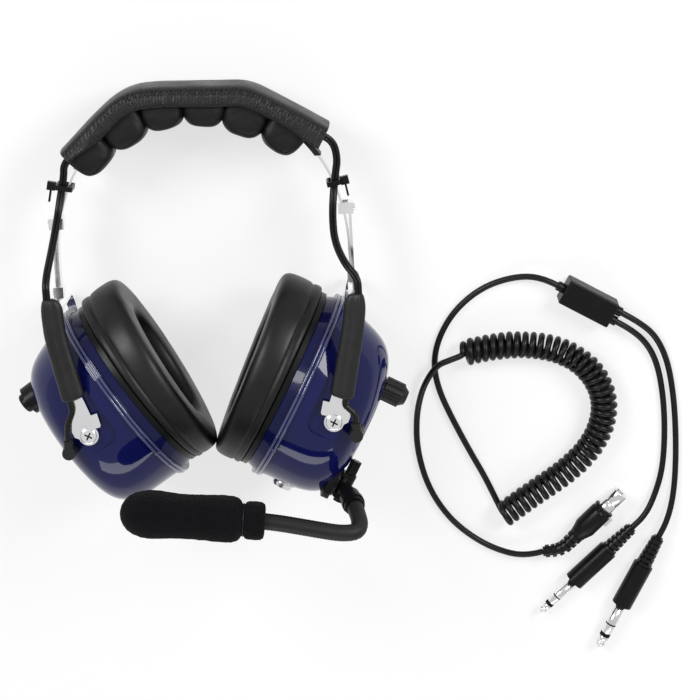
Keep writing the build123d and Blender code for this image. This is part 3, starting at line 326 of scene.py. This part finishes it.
# ---------------------------------------------------------------- the cord set
CORD = 1.8                          # the cord's radius, and its height where it lies on the floor
COIL_RADIUS, COIL_HEIGHT, COIL_TURNS, TURN_STEPS = 6.2, 8.0, 44.5, 14
COIL_NARROW = 0.55                  # the first half turn grows from this share of the radius
BOX_HALF, BOX_SPREAD = 20, 3        # half the junction box's length, and each lead's distance from its middle
BOOT_AND_BARREL = 47.5              # from a lead's end to its plug's shaft
EXIT_RUN, BOOT_RUN = 2, 16          # how far a lead runs on into its boot

plug_way = Vector((0.725, 0.689, 0)).normalized()
plug_back = Vector((203.0, -172.0, 6.6))
plug_exit = plug_back + Vector((-19.6, -8.9, 0))
box_way = Vector((0.853, -0.522, 0)).normalized()
box_side = Vector((0.522, 0.853, 0)).normalized()
box_centre = Vector((213.5, -28.0, 6.5))
box_in = box_centre - box_way * BOX_HALF
box_out_c = box_centre + box_way * BOX_HALF - box_side * BOX_SPREAD
box_out_d = box_centre + box_way * BOX_HALF + box_side * BOX_SPREAD
mic_end, mic_way = Vector((236.0, -169.0, 6.0)), Vector((-0.736, -0.677, 0)).normalized()
phone_end, phone_way = Vector((251.4, -176.0, 6.0)), Vector((-0.474, -0.881, 0)).normalized()

coil_route = [
    (141.0, -54.6, COIL_HEIGHT), (157.0, -51.5, COIL_HEIGHT), (177.0, -51.0, COIL_HEIGHT),
    (197.0, -55.5, COIL_HEIGHT), (213.0, -67.0, COIL_HEIGHT), (221.5, -84.0, COIL_HEIGHT),
    (220.5, -102.0, COIL_HEIGHT), (211.5, -118.5, COIL_HEIGHT), (196.5, -132.0, COIL_HEIGHT),
    (179.0, -143.0, COIL_HEIGHT), (160.5, -156.0, COIL_HEIGHT),
]
coil_points = []
coil_line = centreline([Vector(point) for point in coil_route])
steps = round(COIL_TURNS * TURN_STEPS)
for step, (point, way, _) in enumerate(stations(coil_line, steps + 1)):
    angle = -math.pi / 2 + (steps - step) * math.tau / TURN_STEPS
    side = Vector((0, 0, 1)).cross(way).normalized()
    reach = COIL_RADIUS + 0.25 * noise.noise(Vector((step * 0.05, 3.1, 0)))
    if step < TURN_STEPS / 2:
        reach *= COIL_NARROW + (1 - COIL_NARROW) * step / (TURN_STEPS / 2)
    coil_points.append(point + (side * math.cos(angle) + Vector((0, 0, 1)) * math.sin(angle)) * reach)

lead_a = [
    plug_exit, (172.8, -183.5, 6.6), (156.0, -179.5, 3.0), (141.0, -170.0, CORD), (128.0, -156.5, CORD),
    (117.5, -137.0, CORD), (112.5, -114.0, CORD), (113.0, -94.0, 2.6), (116.0, -79.0, 6.0),
    (120.0, -69.0, 8.6), (126.0, -60.5, 9.4), (133.0, -57.6, 10.6),
]
lead_b = [
    (158.0, -150.0, CORD), (151.0, -133.0, CORD), (143.5, -118.0, CORD), (133.5, -96.0, CORD),
    (126.5, -78.0, CORD), (124.2, -62.0, CORD), (128.0, -46.0, CORD), (138.0, -30.0, CORD),
    (154.0, -17.5, CORD), (172.0, -11.8, 3.5), box_in - box_way * 11, box_in,
]
lead_c = [
    box_out_c, box_out_c + box_way * 10, (247.0, -56.5, 3.0), (253.0, -70.0, CORD), (256.0, -90.0, CORD),
    (256.6, -112.0, CORD), (255.0, -134.0, CORD), (250.5, -149.0, 3.2), mic_end - mic_way * 11,
    mic_end + mic_way * EXIT_RUN, mic_end + mic_way * BOOT_RUN,
]
lead_d = [
    box_out_d, box_out_d + box_way * 11, (252.0, -52.0, 3.0), (258.8, -68.0, CORD), (262.0, -90.0, CORD),
    (263.0, -114.0, CORD), (262.4, -138.0, CORD), (260.2, -155.0, 3.2), phone_end - phone_way * 10,
    phone_end + phone_way * EXIT_RUN, phone_end + phone_way * BOOT_RUN,
]
main_route = [*lead_a, *coil_points, *lead_b]
main_cord = spline("main_cord", [Vector(point) * MM for point in main_route], CORD * MM, 5)
mic_lead = spline("mic_lead", [Vector(point) * MM for point in lead_c], CORD * MM)
phone_lead = spline("phone_lead", [Vector(point) * MM for point in lead_d], CORD * MM)
for cord, stood_for in (
    (main_cord, ("cord_lead_a", "cord_coil", "cord_lead_b")),
    (mic_lead, ("cord_lead_c",)),
    (phone_lead, ("cord_lead_d",)),
):
    cord.data.materials.append(JACKET)
    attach(cord, "cord_set")
    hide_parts(*stood_for)


# the small round plug: black barrel and silver nose
def barrel_grooves(distance, angle):
    """Ten shallow grooves along the barrel's grip."""
    return -0.00022 * (math.cos(angle * 10) > 0.6) * (0.009 < distance < 0.0195)


face = (plug_back + plug_way * 24) * MM
barrel = lathe("plug_barrel_black", plug_back * MM, plug_way, [
    (0.0, 0.0040), (0.0004, 0.0046), (0.003, 0.0052), (0.0066, 0.0064), (0.0074, 0.0066),
    (0.0200, 0.0066), (0.0212, 0.0064), (0.0214, 0.0058), (0.0222, 0.0058), (0.0224, 0.0064),
    (0.0238, 0.0063), (0.0240, 0.0058),
], PLASTIC, swell=barrel_grooves)
nose = lathe("plug_nose_metal", face, plug_way, [
    (-0.001, 0.0046), (0.0, 0.00475), (0.0042, 0.00475), (0.0044, 0.0045), (0.0054, 0.0045),
    (0.0056, 0.00475), (0.0126, 0.00475), (0.013, 0.0046), (0.013, 0.0040), (0.0104, 0.0039),
    (0.0102, 0.0),
], NICKEL)
for made in (barrel, nose):
    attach(made, "cord_set")
    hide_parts("plug_shell")

# the two aviation plugs: nickel shafts with dark rings
for name, end, way, radius, length in (
    ("mic", mic_end, mic_way, 2.615, 27.5),
    ("phone", phone_end, phone_way, 3.175, 30.5),
):
    start = (end + way * BOOT_AND_BARREL) * MM
    r, long = radius * MM, length * MM
    shaft = lathe(f"{name}_plug_shaft", start, way, [
        (-0.0004, r), (long - 3.4 * r, r), (long - 3.2 * r, r * 0.86), (long - 2.6 * r, r * 0.86),
        (long - 2.4 * r, r), (long - 1.9 * r, r), (long - 1.75 * r, r * 0.86), (long - 1.6 * r, r * 0.62),
        (long - 1.3 * r, r * 0.78), (long - 1.0 * r, r * 0.96), (long - 0.7 * r, r * 0.88),
        (long - 0.35 * r, r * 0.62), (long, r * 0.2),
    ], NICKEL)
    ring = lathe(f"{name}_plug_ring", start + way * (long - 3.25 * r), way, [
        (0.0, r * 0.7), (0.0, r * 0.985), (0.7 * r, r * 0.985), (0.7 * r, r * 0.7)], DARK)
    ring2 = lathe(f"{name}_plug_ring_near", start + way * (long - 5.4 * r), way, [
        (0.0, r * 0.7), (0.0, r * 1.01), (0.28 * r, r * 1.01), (0.28 * r, r * 0.7)], DARK)
    for made in (shaft, ring, ring2):
        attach(made, "cord_set")
    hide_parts(f"{name}_plug")

# ---------------------------------------------------------------- the leather cover over the band
SKIRT = 11.0                        # how far the front flap hangs below the crown
REAR_RISE = 0.6                     # and how much less the rear one hangs
END_SHARE = 0.12                    # the share of the length over which an end flares
WIDE_END, NARROW_END = 1.8, -4.2    # what the front flap gains at the left end and loses at the right one
COVER_ROWS, STITCHES = 300, 62
cover_route = [
    (73.0, 156.8), (59.0, 165.2), (45.0, 173.6), (31.0, 182.0), (14.0, 182.6), (-3.0, 183.3), (-20.0, 183.9),
    (-32.0, 183.4), (-43.0, 178.6), (-53.0, 170.0), (-63.0, 160.6), (-73.5, 150.8),
]
cover_line = centreline([Vector((*point, 0)) for point in cover_route])


def cover_ring(point, way, distance, total):
    """One section of the cover, from the rear hem over the crown to the front hem and back underneath."""
    outward = Vector((way.y, -way.x, 0))
    if outward.y < 0:
        outward = -outward
    share = distance / total
    end = max(0.0, 1 - min(share, 1 - share) / END_SHARE)
    wander = 0.5 * noise.noise(Vector((distance * 0.05, 0, 0)))
    front_drop = SKIRT + (WIDE_END * end if share < 0.5 else NARROW_END * end) + wander
    rear_drop = SKIRT - REAR_RISE
    gather = 0.42 * math.sin(distance * 1.75 + 1.4 * noise.noise(Vector((distance * 0.11, 4, 0))))
    gather += 0.25 * noise.noise(Vector((distance * 0.8, 9, 0)))
    soft = 0.5 * noise.noise(Vector((distance * 0.06, 0.3, 2)))
    flare = 1.6 * end * end
    section = []
    for z, r, wrinkle in (
        (-19.2, -3.0, 0), (-19.2, -rear_drop + 0.6, 0.1), (-20.2, -rear_drop, 0.2),
        (-21.8, -rear_drop + 0.2, 0.4), (-22.2, -rear_drop + 1.4, 0.5), (-22.0, -6.5, 0.6),
        (-21.6, -4.0, 0.5), (-21.0, -2.2, 0.3), (-19.8, -0.9, 0.1),
        (-18.0, -0.1, 0), (-14.5, 0.45, 0), (-9.0, 0.8, 0), (-3.0, 1.0, 0), (3.0, 1.0, 0), (9.0, 0.8, 0),
        (14.5, 0.45, 0), (17.6, 0.0, 0.15), (19.2, -0.7, 0.6), (20.5, -1.7, 1.0), (21.2, -2.9, 1.0),
        (21.3, -3.5, 0.4), (21.6, -4.1, 1.1), (21.9, -5.4, 1.1), (22.1, -7.0, 0.9),
        (22.3, -front_drop + 2.0, 0.7),
        (22.3, -front_drop + 0.7, 0.5), (21.6, -front_drop, 0.3), (20.2, -front_drop + 0.1, 0.2),
        (19.4, -front_drop + 1.2, 0), (19.2, -3.0, 0), (12.0, -2.4, 0), (0.0, -2.2, 0), (-12.0, -2.4, 0),
    ):
        lift = r + (soft if abs(z) < 19 else 0) * 0.5 + (gather * 0.35 * wrinkle if z > 0 else 0)
        z += math.copysign(wrinkle * (gather if z > 0 else soft) * 0.8, z)
        if r < -4:
            z += math.copysign(flare * (-r - 4) / 7, z)
        section.append(worn(*(point + outward * lift + Vector((0, 0, z)))))
    return section


cover_steps = stations(cover_line, COVER_ROWS)
cover_total = cover_steps[-1][2]
pad_cover = piece("leather_cover", *skin([cover_ring(*step, cover_total) for step in cover_steps]), LEATHER)
rounder(pad_cover)
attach(pad_cover, "head_frame")
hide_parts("pad_cover")

# whip stitches over the front and rear shoulders
stitch_vertices, stitch_faces = [], []
for point, way, _ in stations(cover_line, STITCHES)[1:-1]:
    outward = Vector((way.y, -way.x, 0)) * (1 if -way.x > 0 else -1)
    for front in (1, -1):
        path = [(20.6, -1.2, -0.7), (21.5, -2.4, -0.2), (21.9, -3.6, 0.4), (21.9, -4.8, 0.9)]
        slope = outward * 0.7 + Vector((0, 0, front)) * 0.7
        rings = []
        for z, r, shift in path:
            centre = point + outward * r + Vector((0, 0, front * z)) + way * shift
            rings.append([worn(*(centre + (way * math.cos(a) * 0.42 + slope * math.sin(a) * 0.30)))
                          for a in (0, 1.05, 2.1, 3.14, 4.19, 5.24)])
        add_skin(stitch_vertices, stitch_faces, rings)
stitches = piece("cover_stitches", stitch_vertices, stitch_faces, THREAD)
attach(stitches, "head_frame")


# ---------------------------------------------------------------- the finger lobes under it
def pillow(centre, axes, halves, powers, back, wide=44, tall=26):
    """Rings of a rounded box along the last of its three axes, flat past back on the second."""
    first, second, third = axes
    rings = []
    for row in range(1, tall):
        high = -math.pi / 2 + math.pi * row / tall
        lift = signed_power(math.sin(high), powers[0])
        reach = math.cos(high) ** powers[0]
        ring = []
        for turn in turns(wide):
            x = signed_power(math.cos(turn), powers[1]) * reach
            y = signed_power(math.sin(turn), powers[1]) * reach
            point = first * x * halves[0] + second * min(y * halves[1], back) + third * lift * halves[2]
            grain = noise.noise((centre + point) * 0.16) * 0.5 + noise.noise((centre + point) * 0.45) * 0.18
            ring.append(centre + point * (1 + grain * 0.05))
        rings.append(ring)
    return rings


LOBE_CENTRE, LOBE_REACH = Vector((-2.0, 94.0, 0)), 81.3     # the lobes' middles lie on this arc
LOBE_TURN, LOBE_PITCH, LOBE_HALF, LOBE_BACK = 2.7, 16.9, 18.9, 4.5
LOBE_POWERS = (0.36, 0.70)
LOBE_SIZES = [(11.9, 14.0), (13.0, 16.0), (12.3, 14.8), (12.2, 14.2), (12.6, 15.2), (12.2, 14.2)]
lobe_vertices, lobe_faces = [], []
for number, (long, deep) in enumerate(LOBE_SIZES):
    angle = math.radians(90 + LOBE_TURN + (2.5 - number) * -LOBE_PITCH)
    outward = Vector((math.cos(angle), math.sin(angle), 0))
    tangent = Vector((-outward.y, outward.x, 0))
    rings = pillow(LOBE_CENTRE + outward * LOBE_REACH, (tangent, outward, Vector((0, 0, 1))),
                   (long, deep, LOBE_HALF), LOBE_POWERS, LOBE_BACK)
    add_skin(lobe_vertices, lobe_faces, [[worn(*point) for point in ring] for ring in rings])
lobes = piece("finger_lobes", lobe_vertices, lobe_faces, LOBE_LEATHER)
rounder(lobes)
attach(lobes, "head_frame")
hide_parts("pad_cushion")

# ---------------------------------------------------------------- ear seals
SEAL_START, SEAL_LONG, SEAL_WIDE, SEAL_U = 10.8, 54.2, 43.5, 0.8
EAR_LONG, EAR_WIDE = 32.0, 20.0
SEAL_THICK = {1: 19.8, -1: 19.2}
SEAL_WEDGE = {1: math.radians(4), -1: math.radians(5)}
# (share of the way from the outer rim to the ear opening, share of the thickness)
seal_profile = [
    (0.40, 0.0), (0.12, 0.0), (0.03, 0.01), (0.0, 0.05), (-0.004, 0.13), (0.006, 0.20), (0.034, 0.235),
    (0.036, 0.25), (0.006, 0.275), (-0.008, 0.35), (-0.011, 0.48), (-0.009, 0.62), (0.002, 0.75),
    (0.028, 0.855), (0.072, 0.93), (0.13, 0.972), (0.21, 0.996), (0.32, 1.004), (0.48, 1.006),
    (0.64, 1.003), (0.77, 0.996), (0.86, 0.975), (0.92, 0.935), (0.962, 0.86), (0.985, 0.74),
    (0.997, 0.56), (1.0, 0.34), (0.995, 0.12), (0.97, 0.01), (0.70, 0.0),
]
for name, side in SIDES.items():
    cup = cup_frame(side)
    rings = []
    for turn in turns(144):
        outer = Vector((SEAL_U + SEAL_LONG * math.cos(turn), SEAL_WIDE * math.sin(turn)))
        inner = Vector((EAR_LONG * math.cos(turn), EAR_WIDE * math.sin(turn)))
        ring = []
        for t, h in seal_profile:
            flat = outer.lerp(inner, t)
            thick = SEAL_THICK[side] + math.tan(SEAL_WEDGE[side]) * flat.x
            pucker = 0.16 * noise.noise(Vector((flat.x * 0.11, flat.y * 0.11, h * 1.5 + side * 7)))
            pucker += 0.05 * noise.noise(Vector((turn * 30, h * 5, side))) * (h < 0.35 or t > 0.9)
            ring.append(cup @ Vector((flat.x, flat.y, -SEAL_START - thick * h - pucker * (h > 0.02))))
        rings.append(ring)
    seal = piece(f"ear_cushion_{name}", *skin(rings, around=True), VINYL)
    rounder(seal)
    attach(seal, f"cup_{name}")
    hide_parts(f"ear_seal_{name}")

# ---------------------------------------------------------------- microphone muff
neck_end, muff_end = worn(24, -48.6, 60), worn(-51.2, -39.5, 60)
muff_way = (muff_end - neck_end).normalized()
muff_long = (muff_end - neck_end).length


def foam_swell(distance, angle):
    spot = Vector((distance * 260, math.cos(angle) * 3.2, math.sin(angle) * 3.2))
    return 0.00026 * noise.noise(spot) + 0.00010 * noise.noise(spot * 3.7)


muff_profile = [
    (-0.0022, 0.0048), (-0.0025, 0.0070), (-0.0020, 0.0092), (-0.0004, 0.0102), (0.003, 0.0104),
    (0.0066, 0.0103), (0.0080, 0.0098), (0.0085, 0.0090), (0.0090, 0.0086), (0.0096, 0.0086),
    (0.0101, 0.0090), (0.0108, 0.0103),
    (0.0122, 0.0117), (0.015, 0.0126), (0.020, 0.0128), (0.028, 0.0124), (0.036, 0.0121), (0.042, 0.0120),
    (0.048, 0.0124), (0.054, 0.0130), (0.060, 0.0132), (0.064, 0.0126), (0.068, 0.0113), (0.0715, 0.0092),
    (0.0738, 0.0066), (0.0752, 0.0038), (muff_long, 0.0010),
]
MUFF_STEP = 0.0012                  # rings close enough to carry the foam's swell
dense = []
for (d0, r0), (d1, r1) in zip(muff_profile, muff_profile[1:]):
    parts = max(1, round((d1 - d0) / MUFF_STEP))
    dense += [(d0 + (d1 - d0) * k / parts, r0 + (r1 - r0) * k / parts) for k in range(parts)]
dense.append(muff_profile[-1])
muff = lathe("foam_muff", neck_end, muff_way, dense, FOAM, segments=84, swell=foam_swell)
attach(muff, "boom")
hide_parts("mic_muff")
neck_route = [
    (75.2, -48.6, 40.5), (76.6, -51.8, 46.5), (77.6, -55.6, 52.5), (75.6, -58.6, 57.0), (67.0, -58.2, 59.4),
    (56.0, -55.6, 60.0), (46.0, -53.2, 60.0), (35.0, -50.6, 60.0), (24.0, -48.6, 60.0), (18.0, -47.9, 60.0),
]
neck_line = stations(centreline([Vector(point) for point in neck_route]), 90)
NECK_RADIUS, RIB, RIB_PITCH = 4.55, 0.10, 1.6
neck_rings = []
for point, way, distance in neck_line:
    one, two = side_axes(way)
    rib = RIB * math.sin(distance * math.tau / RIB_PITCH)
    neck_rings.append([worn(*(point + (one * math.cos(a) + two * math.sin(a)) * (NECK_RADIUS + rib)))
                       for a in turns(32)])
neck = piece("gooseneck_tube", *skin(neck_rings), NECK)
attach(neck, "boom")
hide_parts("gooseneck")

band_ring = [(0.00885, 0.0084), (0.00895, 0.0090), (0.0093, 0.0092), (0.00965, 0.0090), (0.00975, 0.0084)]
muff_ring = lathe("muff_ring", neck_end, muff_way, band_ring, RUBBER, segments=64)
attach(muff_ring, "boom")

# ---------------------------------------------------------------- pivot screws: pan heads, and a dark box as the painted shade of each cross recess
LUG_FACE, LUG_GAP, WASHER = 43.1, 0.1, 0.6
SLOT_LONG, SLOT_HALF, SLOT_DEPTHS, SLOT_TURN = 0.0022, 0.00042, (0.0015, 0.00236), 0.5
BOX_FACES = ((3, 2, 1, 0), (4, 5, 6, 7), (0, 1, 5, 4), (1, 2, 6, 5), (2, 3, 7, 6), (3, 0, 4, 7))
for name, side in SIDES.items():
    for way, end_name in ((1, "front"), (-1, "rear")):
        direction = worn_way(0, 0, way)
        start = worn(side * PIVOT_SPAN, 0, way * (LUG_FACE + LUG_GAP + WASHER))
        head = lathe(f"pan_head_{name}_{end_name}", start, direction, [
            (0.0, 0.0044), (0.0003, 0.0045), (0.0012, 0.0044), (0.0018, 0.0039), (0.0021, 0.0030),
            (0.00222, 0.0016), (0.00224, 0.0002)], CHROME)
        one, two = side_axes(direction)
        # the cross recess is not cut into the head: a dark box set into the head in its place is painted
        # shade
        slots, slot_faces = [], []
        for turn in (SLOT_TURN, SLOT_TURN + math.pi / 2):
            long = one * math.cos(turn) + two * math.sin(turn)
            wide = one * -math.sin(turn) + two * math.cos(turn)
            base = len(slots)
            for depth in SLOT_DEPTHS:
                for x, y in ((-1, -1), (1, -1), (1, 1), (-1, 1)):
                    slots.append(start + direction * depth + long * x * SLOT_LONG + wide * y * SLOT_HALF)
            slot_faces += [tuple(base + k for k in face) for face in BOX_FACES]
        cross = piece(f"cross_recess_shade_{name}_{end_name}", slots, slot_faces, DARK, smooth=False)
        for made in (head, cross):
            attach(made, f"cup_{name}")

# ---------------------------------------------------------------- cable sleeves beside the arms
LEAN = math.radians(12.4)
SLEEVE_Z, SLEEVE_BEND, SLEEVE_SHIFT = 43.9, 58.0, 2.0
SLEEVE_ENDS = {1: (13.5, 70.0), -1: (20.5, 76.0)}               # heights of its foot and its top
SLEEVE_HALF, SLEEVE_TAPER, SLEEVE_THICK, SLEEVE_POWER = 6.5, 0.7, 3.5, 0.72
FOOT_ROUND, TOP_ROUND, NECK_SHARE = 2.4, 7.5, 0.46
LEAD_OFF, RIDGE, RIDGE_WIDE = 2.2, 1.1, 1.9                     # the lead inside raises a ridge
for name, side in SIDES.items():
    low, high = SLEEVE_ENDS[side]
    arm = Vector((side * math.sin(LEAN), math.cos(LEAN), 0))
    bottom = Vector((side * (PIVOT_SPAN + low * math.tan(LEAN) + math.cos(LEAN) * SLEEVE_SHIFT),
                     low - math.sin(LEAN) * SLEEVE_SHIFT, SLEEVE_Z))
    bend = Vector((side * (PIVOT_SPAN + SLEEVE_BEND * math.tan(LEAN) + SLEEVE_SHIFT), SLEEVE_BEND, SLEEVE_Z))
    route = [bottom, bottom + arm * 12, bend - arm * 9, bend + Vector((0, 4, 0)),
             Vector((bend.x, high, SLEEVE_Z))]
    rings = []
    line = stations(centreline(route), 90)
    total = line[-1][2]
    for point, way, distance in line:
        outboard = Vector((way.y, -way.x, 0)) * side
        near = min(distance / FOOT_ROUND, (total - distance) / TOP_ROUND, 1)
        grow = NECK_SHARE + (1 - NECK_SHARE) * math.sqrt(max(0.0, 1 - (1 - near) ** 2))
        half = SLEEVE_HALF - SLEEVE_TAPER * distance / total
        ring = []
        for turn in turns(40):
            x = signed_power(math.cos(turn), SLEEVE_POWER) * half
            z = signed_power(math.sin(turn), SLEEVE_POWER) * SLEEVE_THICK
            if z > 0:
                z += RIDGE * math.exp(-((x - LEAD_OFF) / RIDGE_WIDE) ** 2) - 0.5
            wave = 0.12 * noise.noise(Vector((distance * 0.15, turn, side)))
            across_by = LEAD_OFF + (x - LEAD_OFF) * grow + wave
            raised = Vector((0, 0, z * (0.55 + 0.45 * grow) + wave))
            ring.append(worn(*(point + outboard * across_by + raised)))
        rings.append(ring)
    sleeve = piece(f"lead_sleeve_{name}", *skin(rings), RUBBER)
    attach(sleeve, f"stirrup_{name}")
    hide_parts(f"cable_sleeve_{name}")

# ---------------------------------------------------------------- twin beads along the shells' seam, in a lighter navy that paints their highlight
SEAM_LONG, SEAM_WIDE, BEAD_OUT, BEAD_RADIUS, BEAD_APART = 54.0, 44.0, 0.95, 0.75, 1.1
for name, side in SIDES.items():
    cup = cup_frame(side)
    for which, height in (("outer", BEAD_APART), ("inner", -BEAD_APART)):
        rings = []
        for turn in turns(180):
            u, y = (SEAM_LONG + BEAD_OUT) * math.cos(turn), (SEAM_WIDE + BEAD_OUT) * math.sin(turn)
            outward = Vector((math.cos(turn) / SEAM_LONG, math.sin(turn) / SEAM_WIDE, 0)).normalized()
            rings.append([cup @ (Vector((u, y, height)) + outward * math.cos(a) * BEAD_RADIUS
                                 + Vector((0, 0, 1)) * math.sin(a) * BEAD_RADIUS)
                          for a in turns(14)])
        line = piece(f"seam_bead_{which}_{name}", *skin(rings, around=True), BEAD)
        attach(line, f"cup_{name}")

# ---------------------------------------------------------------- the twin lead between the cups
TWIN_APART, TWIN_RADIUS = 0.80, 1.30
lead_top = {1: Vector((83.45, 70.0, 44.9)), -1: Vector((-83.45, 76.0, 44.9))}
crossing_route = [
    (-74.6, 130.5, 8.2), (-73.0, 137.0, 8.6), (-72.4, 144.0, 11.0), (-66.6, 149.6, 13.5),
    (-54.0, 161.0, 13.0), (-37.0, 173.6, 13.0), (-13.5, 177.9, 13.0), (10.5, 177.3, 13.0),
    (32.0, 172.8, 13.0), (50.5, 162.6, 13.0), (65.0, 154.2, 13.5), (74.4, 149.2, 12.4),
    (76.3, 139.0, 10.0), (74.8, 131.1, 8.4), (73.9, 125.5, 8.2),
]
span_route = {
    1: [(73.9, 125.5, 8.2), (73.0, 119.9, 8.0), (71.8, 108.0, 13.5), (72.2, 96.5, 28.0), (77.0, 86.0, 41.0),
        lead_top[1] + Vector((0, 8.5, 0)), lead_top[1], lead_top[1] - Vector((0, 4, 0))],
    -1: [(-74.6, 130.5, 8.2), (-76.2, 124.0, 7.8), (-78.3, 113.0, 12.0), (-80.6, 100.0, 27.0),
         lead_top[-1] + Vector((0, 10.0, 0)), lead_top[-1], lead_top[-1] - Vector((0, 4, 0))],
}


def twin_lead(name, route, count):
    """Two round wires side by side, moulded together, along the smooth line of a route."""
    half = math.pi - math.acos(TWIN_APART / TWIN_RADIUS)
    outline = [(way * TWIN_APART + way * TWIN_RADIUS * math.cos(a), way * TWIN_RADIUS * math.sin(a))
               for way in (1, -1) for a in [half * (k / 6 - 1) for k in range(13)]]
    rings = []
    for point, way, _ in stations(centreline([Vector(point) for point in route]), count):
        one, two = side_axes(way)
        rings.append([worn(*(point + one * x + two * z)) for x, z in outline])
    return piece(name, *skin(rings), JACKET)


crossing = twin_lead("twin_lead_crossing", crossing_route, 220)
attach(crossing, "head_frame")
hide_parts("crossing_lead")
for name, side in SIDES.items():
    span = twin_lead(f"twin_lead_{name}", span_route[side], 90)
    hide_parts(f"lead_span_{name}")
    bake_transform(span)

# ---------------------------------------------------------------- finishes of the frame's own nodes
finishes = {
    "head_band": STEEL, "band_sheath": LEATHER, "band_clips": CHROME, "zip_ties": PLASTIC,
    "volume_pot": PLASTIC, "volume_knob": RUBBER, "cord_jack": CHROME,
    "boom_bracket": PLASTIC, "boom_swivel": PLASTIC, "boom_arm": PLASTIC,
    "thumb_screw": PLASTIC, "mic_housing": PLASTIC,
    "push_button_base": PLASTIC, "push_button_cap": PLASTIC, "plug_boots": JACKET, "plug_barrels": PLASTIC,
    "junction_box": PLASTIC, "plug_latch": NICKEL,
}
for name in SIDES:
    finishes.update({
        f"stirrup_{name}": CHROME, f"tongue_clip_{name}": CHROME,
        f"lead_in_sleeve_{name}": JACKET, f"lead_tail_{name}": JACKET,
        f"outer_shell_{name}": NAVY, f"inner_shell_{name}": NAVY_INNER, f"seal_plate_{name}": PLASTIC,
        f"ear_foam_{name}": FOAM, f"speaker_{name}": PLASTIC, f"pivot_screws_{name}": CHROME,
        f"cable_boot_{name}": RUBBER,
    })
for name, material in finishes.items():
    node = nodes[name]
    node.data.materials.clear()
    node.data.materials.append(material)

# ---------------------------------------------------------------- floor, light
FLOOR_HALF = 3.0
corners = [(x * FLOOR_HALF, y * FLOOR_HALF, 0) for x, y in ((-1, -1), (1, -1), (1, 1), (-1, 1))]
floor = piece("floor", corners, [(0, 1, 2, 3)], DARK, smooth=False)
floor_material = bpy.data.materials.new("pale_floor")
floor_material.use_nodes = True
floor_shader = floor_material.node_tree.nodes["Principled BSDF"]
floor_shader.inputs["Base Color"].default_value = (0.92, 0.92, 0.92, 1)
floor_shader.inputs["Roughness"].default_value = 0.9
floor_shader.inputs["Specular IOR Level"].default_value = 0.1
floor.data.materials.clear()
floor.data.materials.append(floor_material)


def seen_share(tree, share):
    """Gives share where the camera, a mirror or glass looks, and 0 for the light on the object."""
    rays = tree.nodes.new("ShaderNodeLightPath")
    either, any_of, scaled = (tree.nodes.new("ShaderNodeMath") for _ in range(3))
    either.operation = any_of.operation = "MAXIMUM"
    scaled.operation = "MULTIPLY"
    scaled.inputs[1].default_value = share
    tree.links.new(rays.outputs["Is Camera Ray"], either.inputs[0])
    tree.links.new(rays.outputs["Is Glossy Ray"], either.inputs[1])
    tree.links.new(either.outputs[0], any_of.inputs[0])
    tree.links.new(rays.outputs["Is Transmission Ray"], any_of.inputs[1])
    tree.links.new(any_of.outputs[0], scaled.inputs[0])
    return scaled.outputs[0]


def show_white(tree, plain, share, output):
    """Mixes a white glow of strength 1 into a shader, by seen_share."""
    glow, blend = tree.nodes.new("ShaderNodeEmission"), tree.nodes.new("ShaderNodeMixShader")
    tree.links.new(seen_share(tree, share), blend.inputs["Fac"])
    tree.links.new(plain.outputs[0], blend.inputs[1])
    tree.links.new(glow.outputs[0], blend.inputs[2])
    tree.links.new(blend.outputs[0], tree.nodes[output].inputs["Surface"])


FLOOR_WHITE, SKY_WHITE, SKY_LIGHT = 0.66, 0.42, 0.40
show_white(floor_material.node_tree, floor_shader, FLOOR_WHITE, "Material Output")

world = bpy.data.worlds.new("studio")
bpy.context.scene.world = world
world.use_nodes = True
sky = world.node_tree.nodes["Background"]
sky.inputs["Color"].default_value = (1.0, 1.0, 1.0, 1)
sky.inputs["Strength"].default_value = SKY_LIGHT
show_white(world.node_tree, sky, SKY_WHITE, "World Output")


def lamp(name, place, target, size, power):
    data = bpy.data.lights.new(name, "AREA")
    data.shape = "RECTANGLE"
    data.size, data.size_y = size
    data.energy = power
    made = bpy.data.objects.new(name, data)
    bpy.context.scene.collection.objects.link(made)
    made.location = place
    made.rotation_euler = (Vector(target) - Vector(place)).to_track_quat("-Z", "Y").to_euler()


lamp("upper_left", (-0.9, 0.9, 1.3), (0.0, 0.0, 0.05), (0.62, 0.62), 17)
lamp("upper_right", (1.1, 0.7, 1.2), (0.1, 0.0, 0.05), (0.5, 0.7), 15)
lamp("lower_front", (0.0, -1.3, 0.9), (0.0, 0.0, 0.05), (1.2, 0.4), 5)
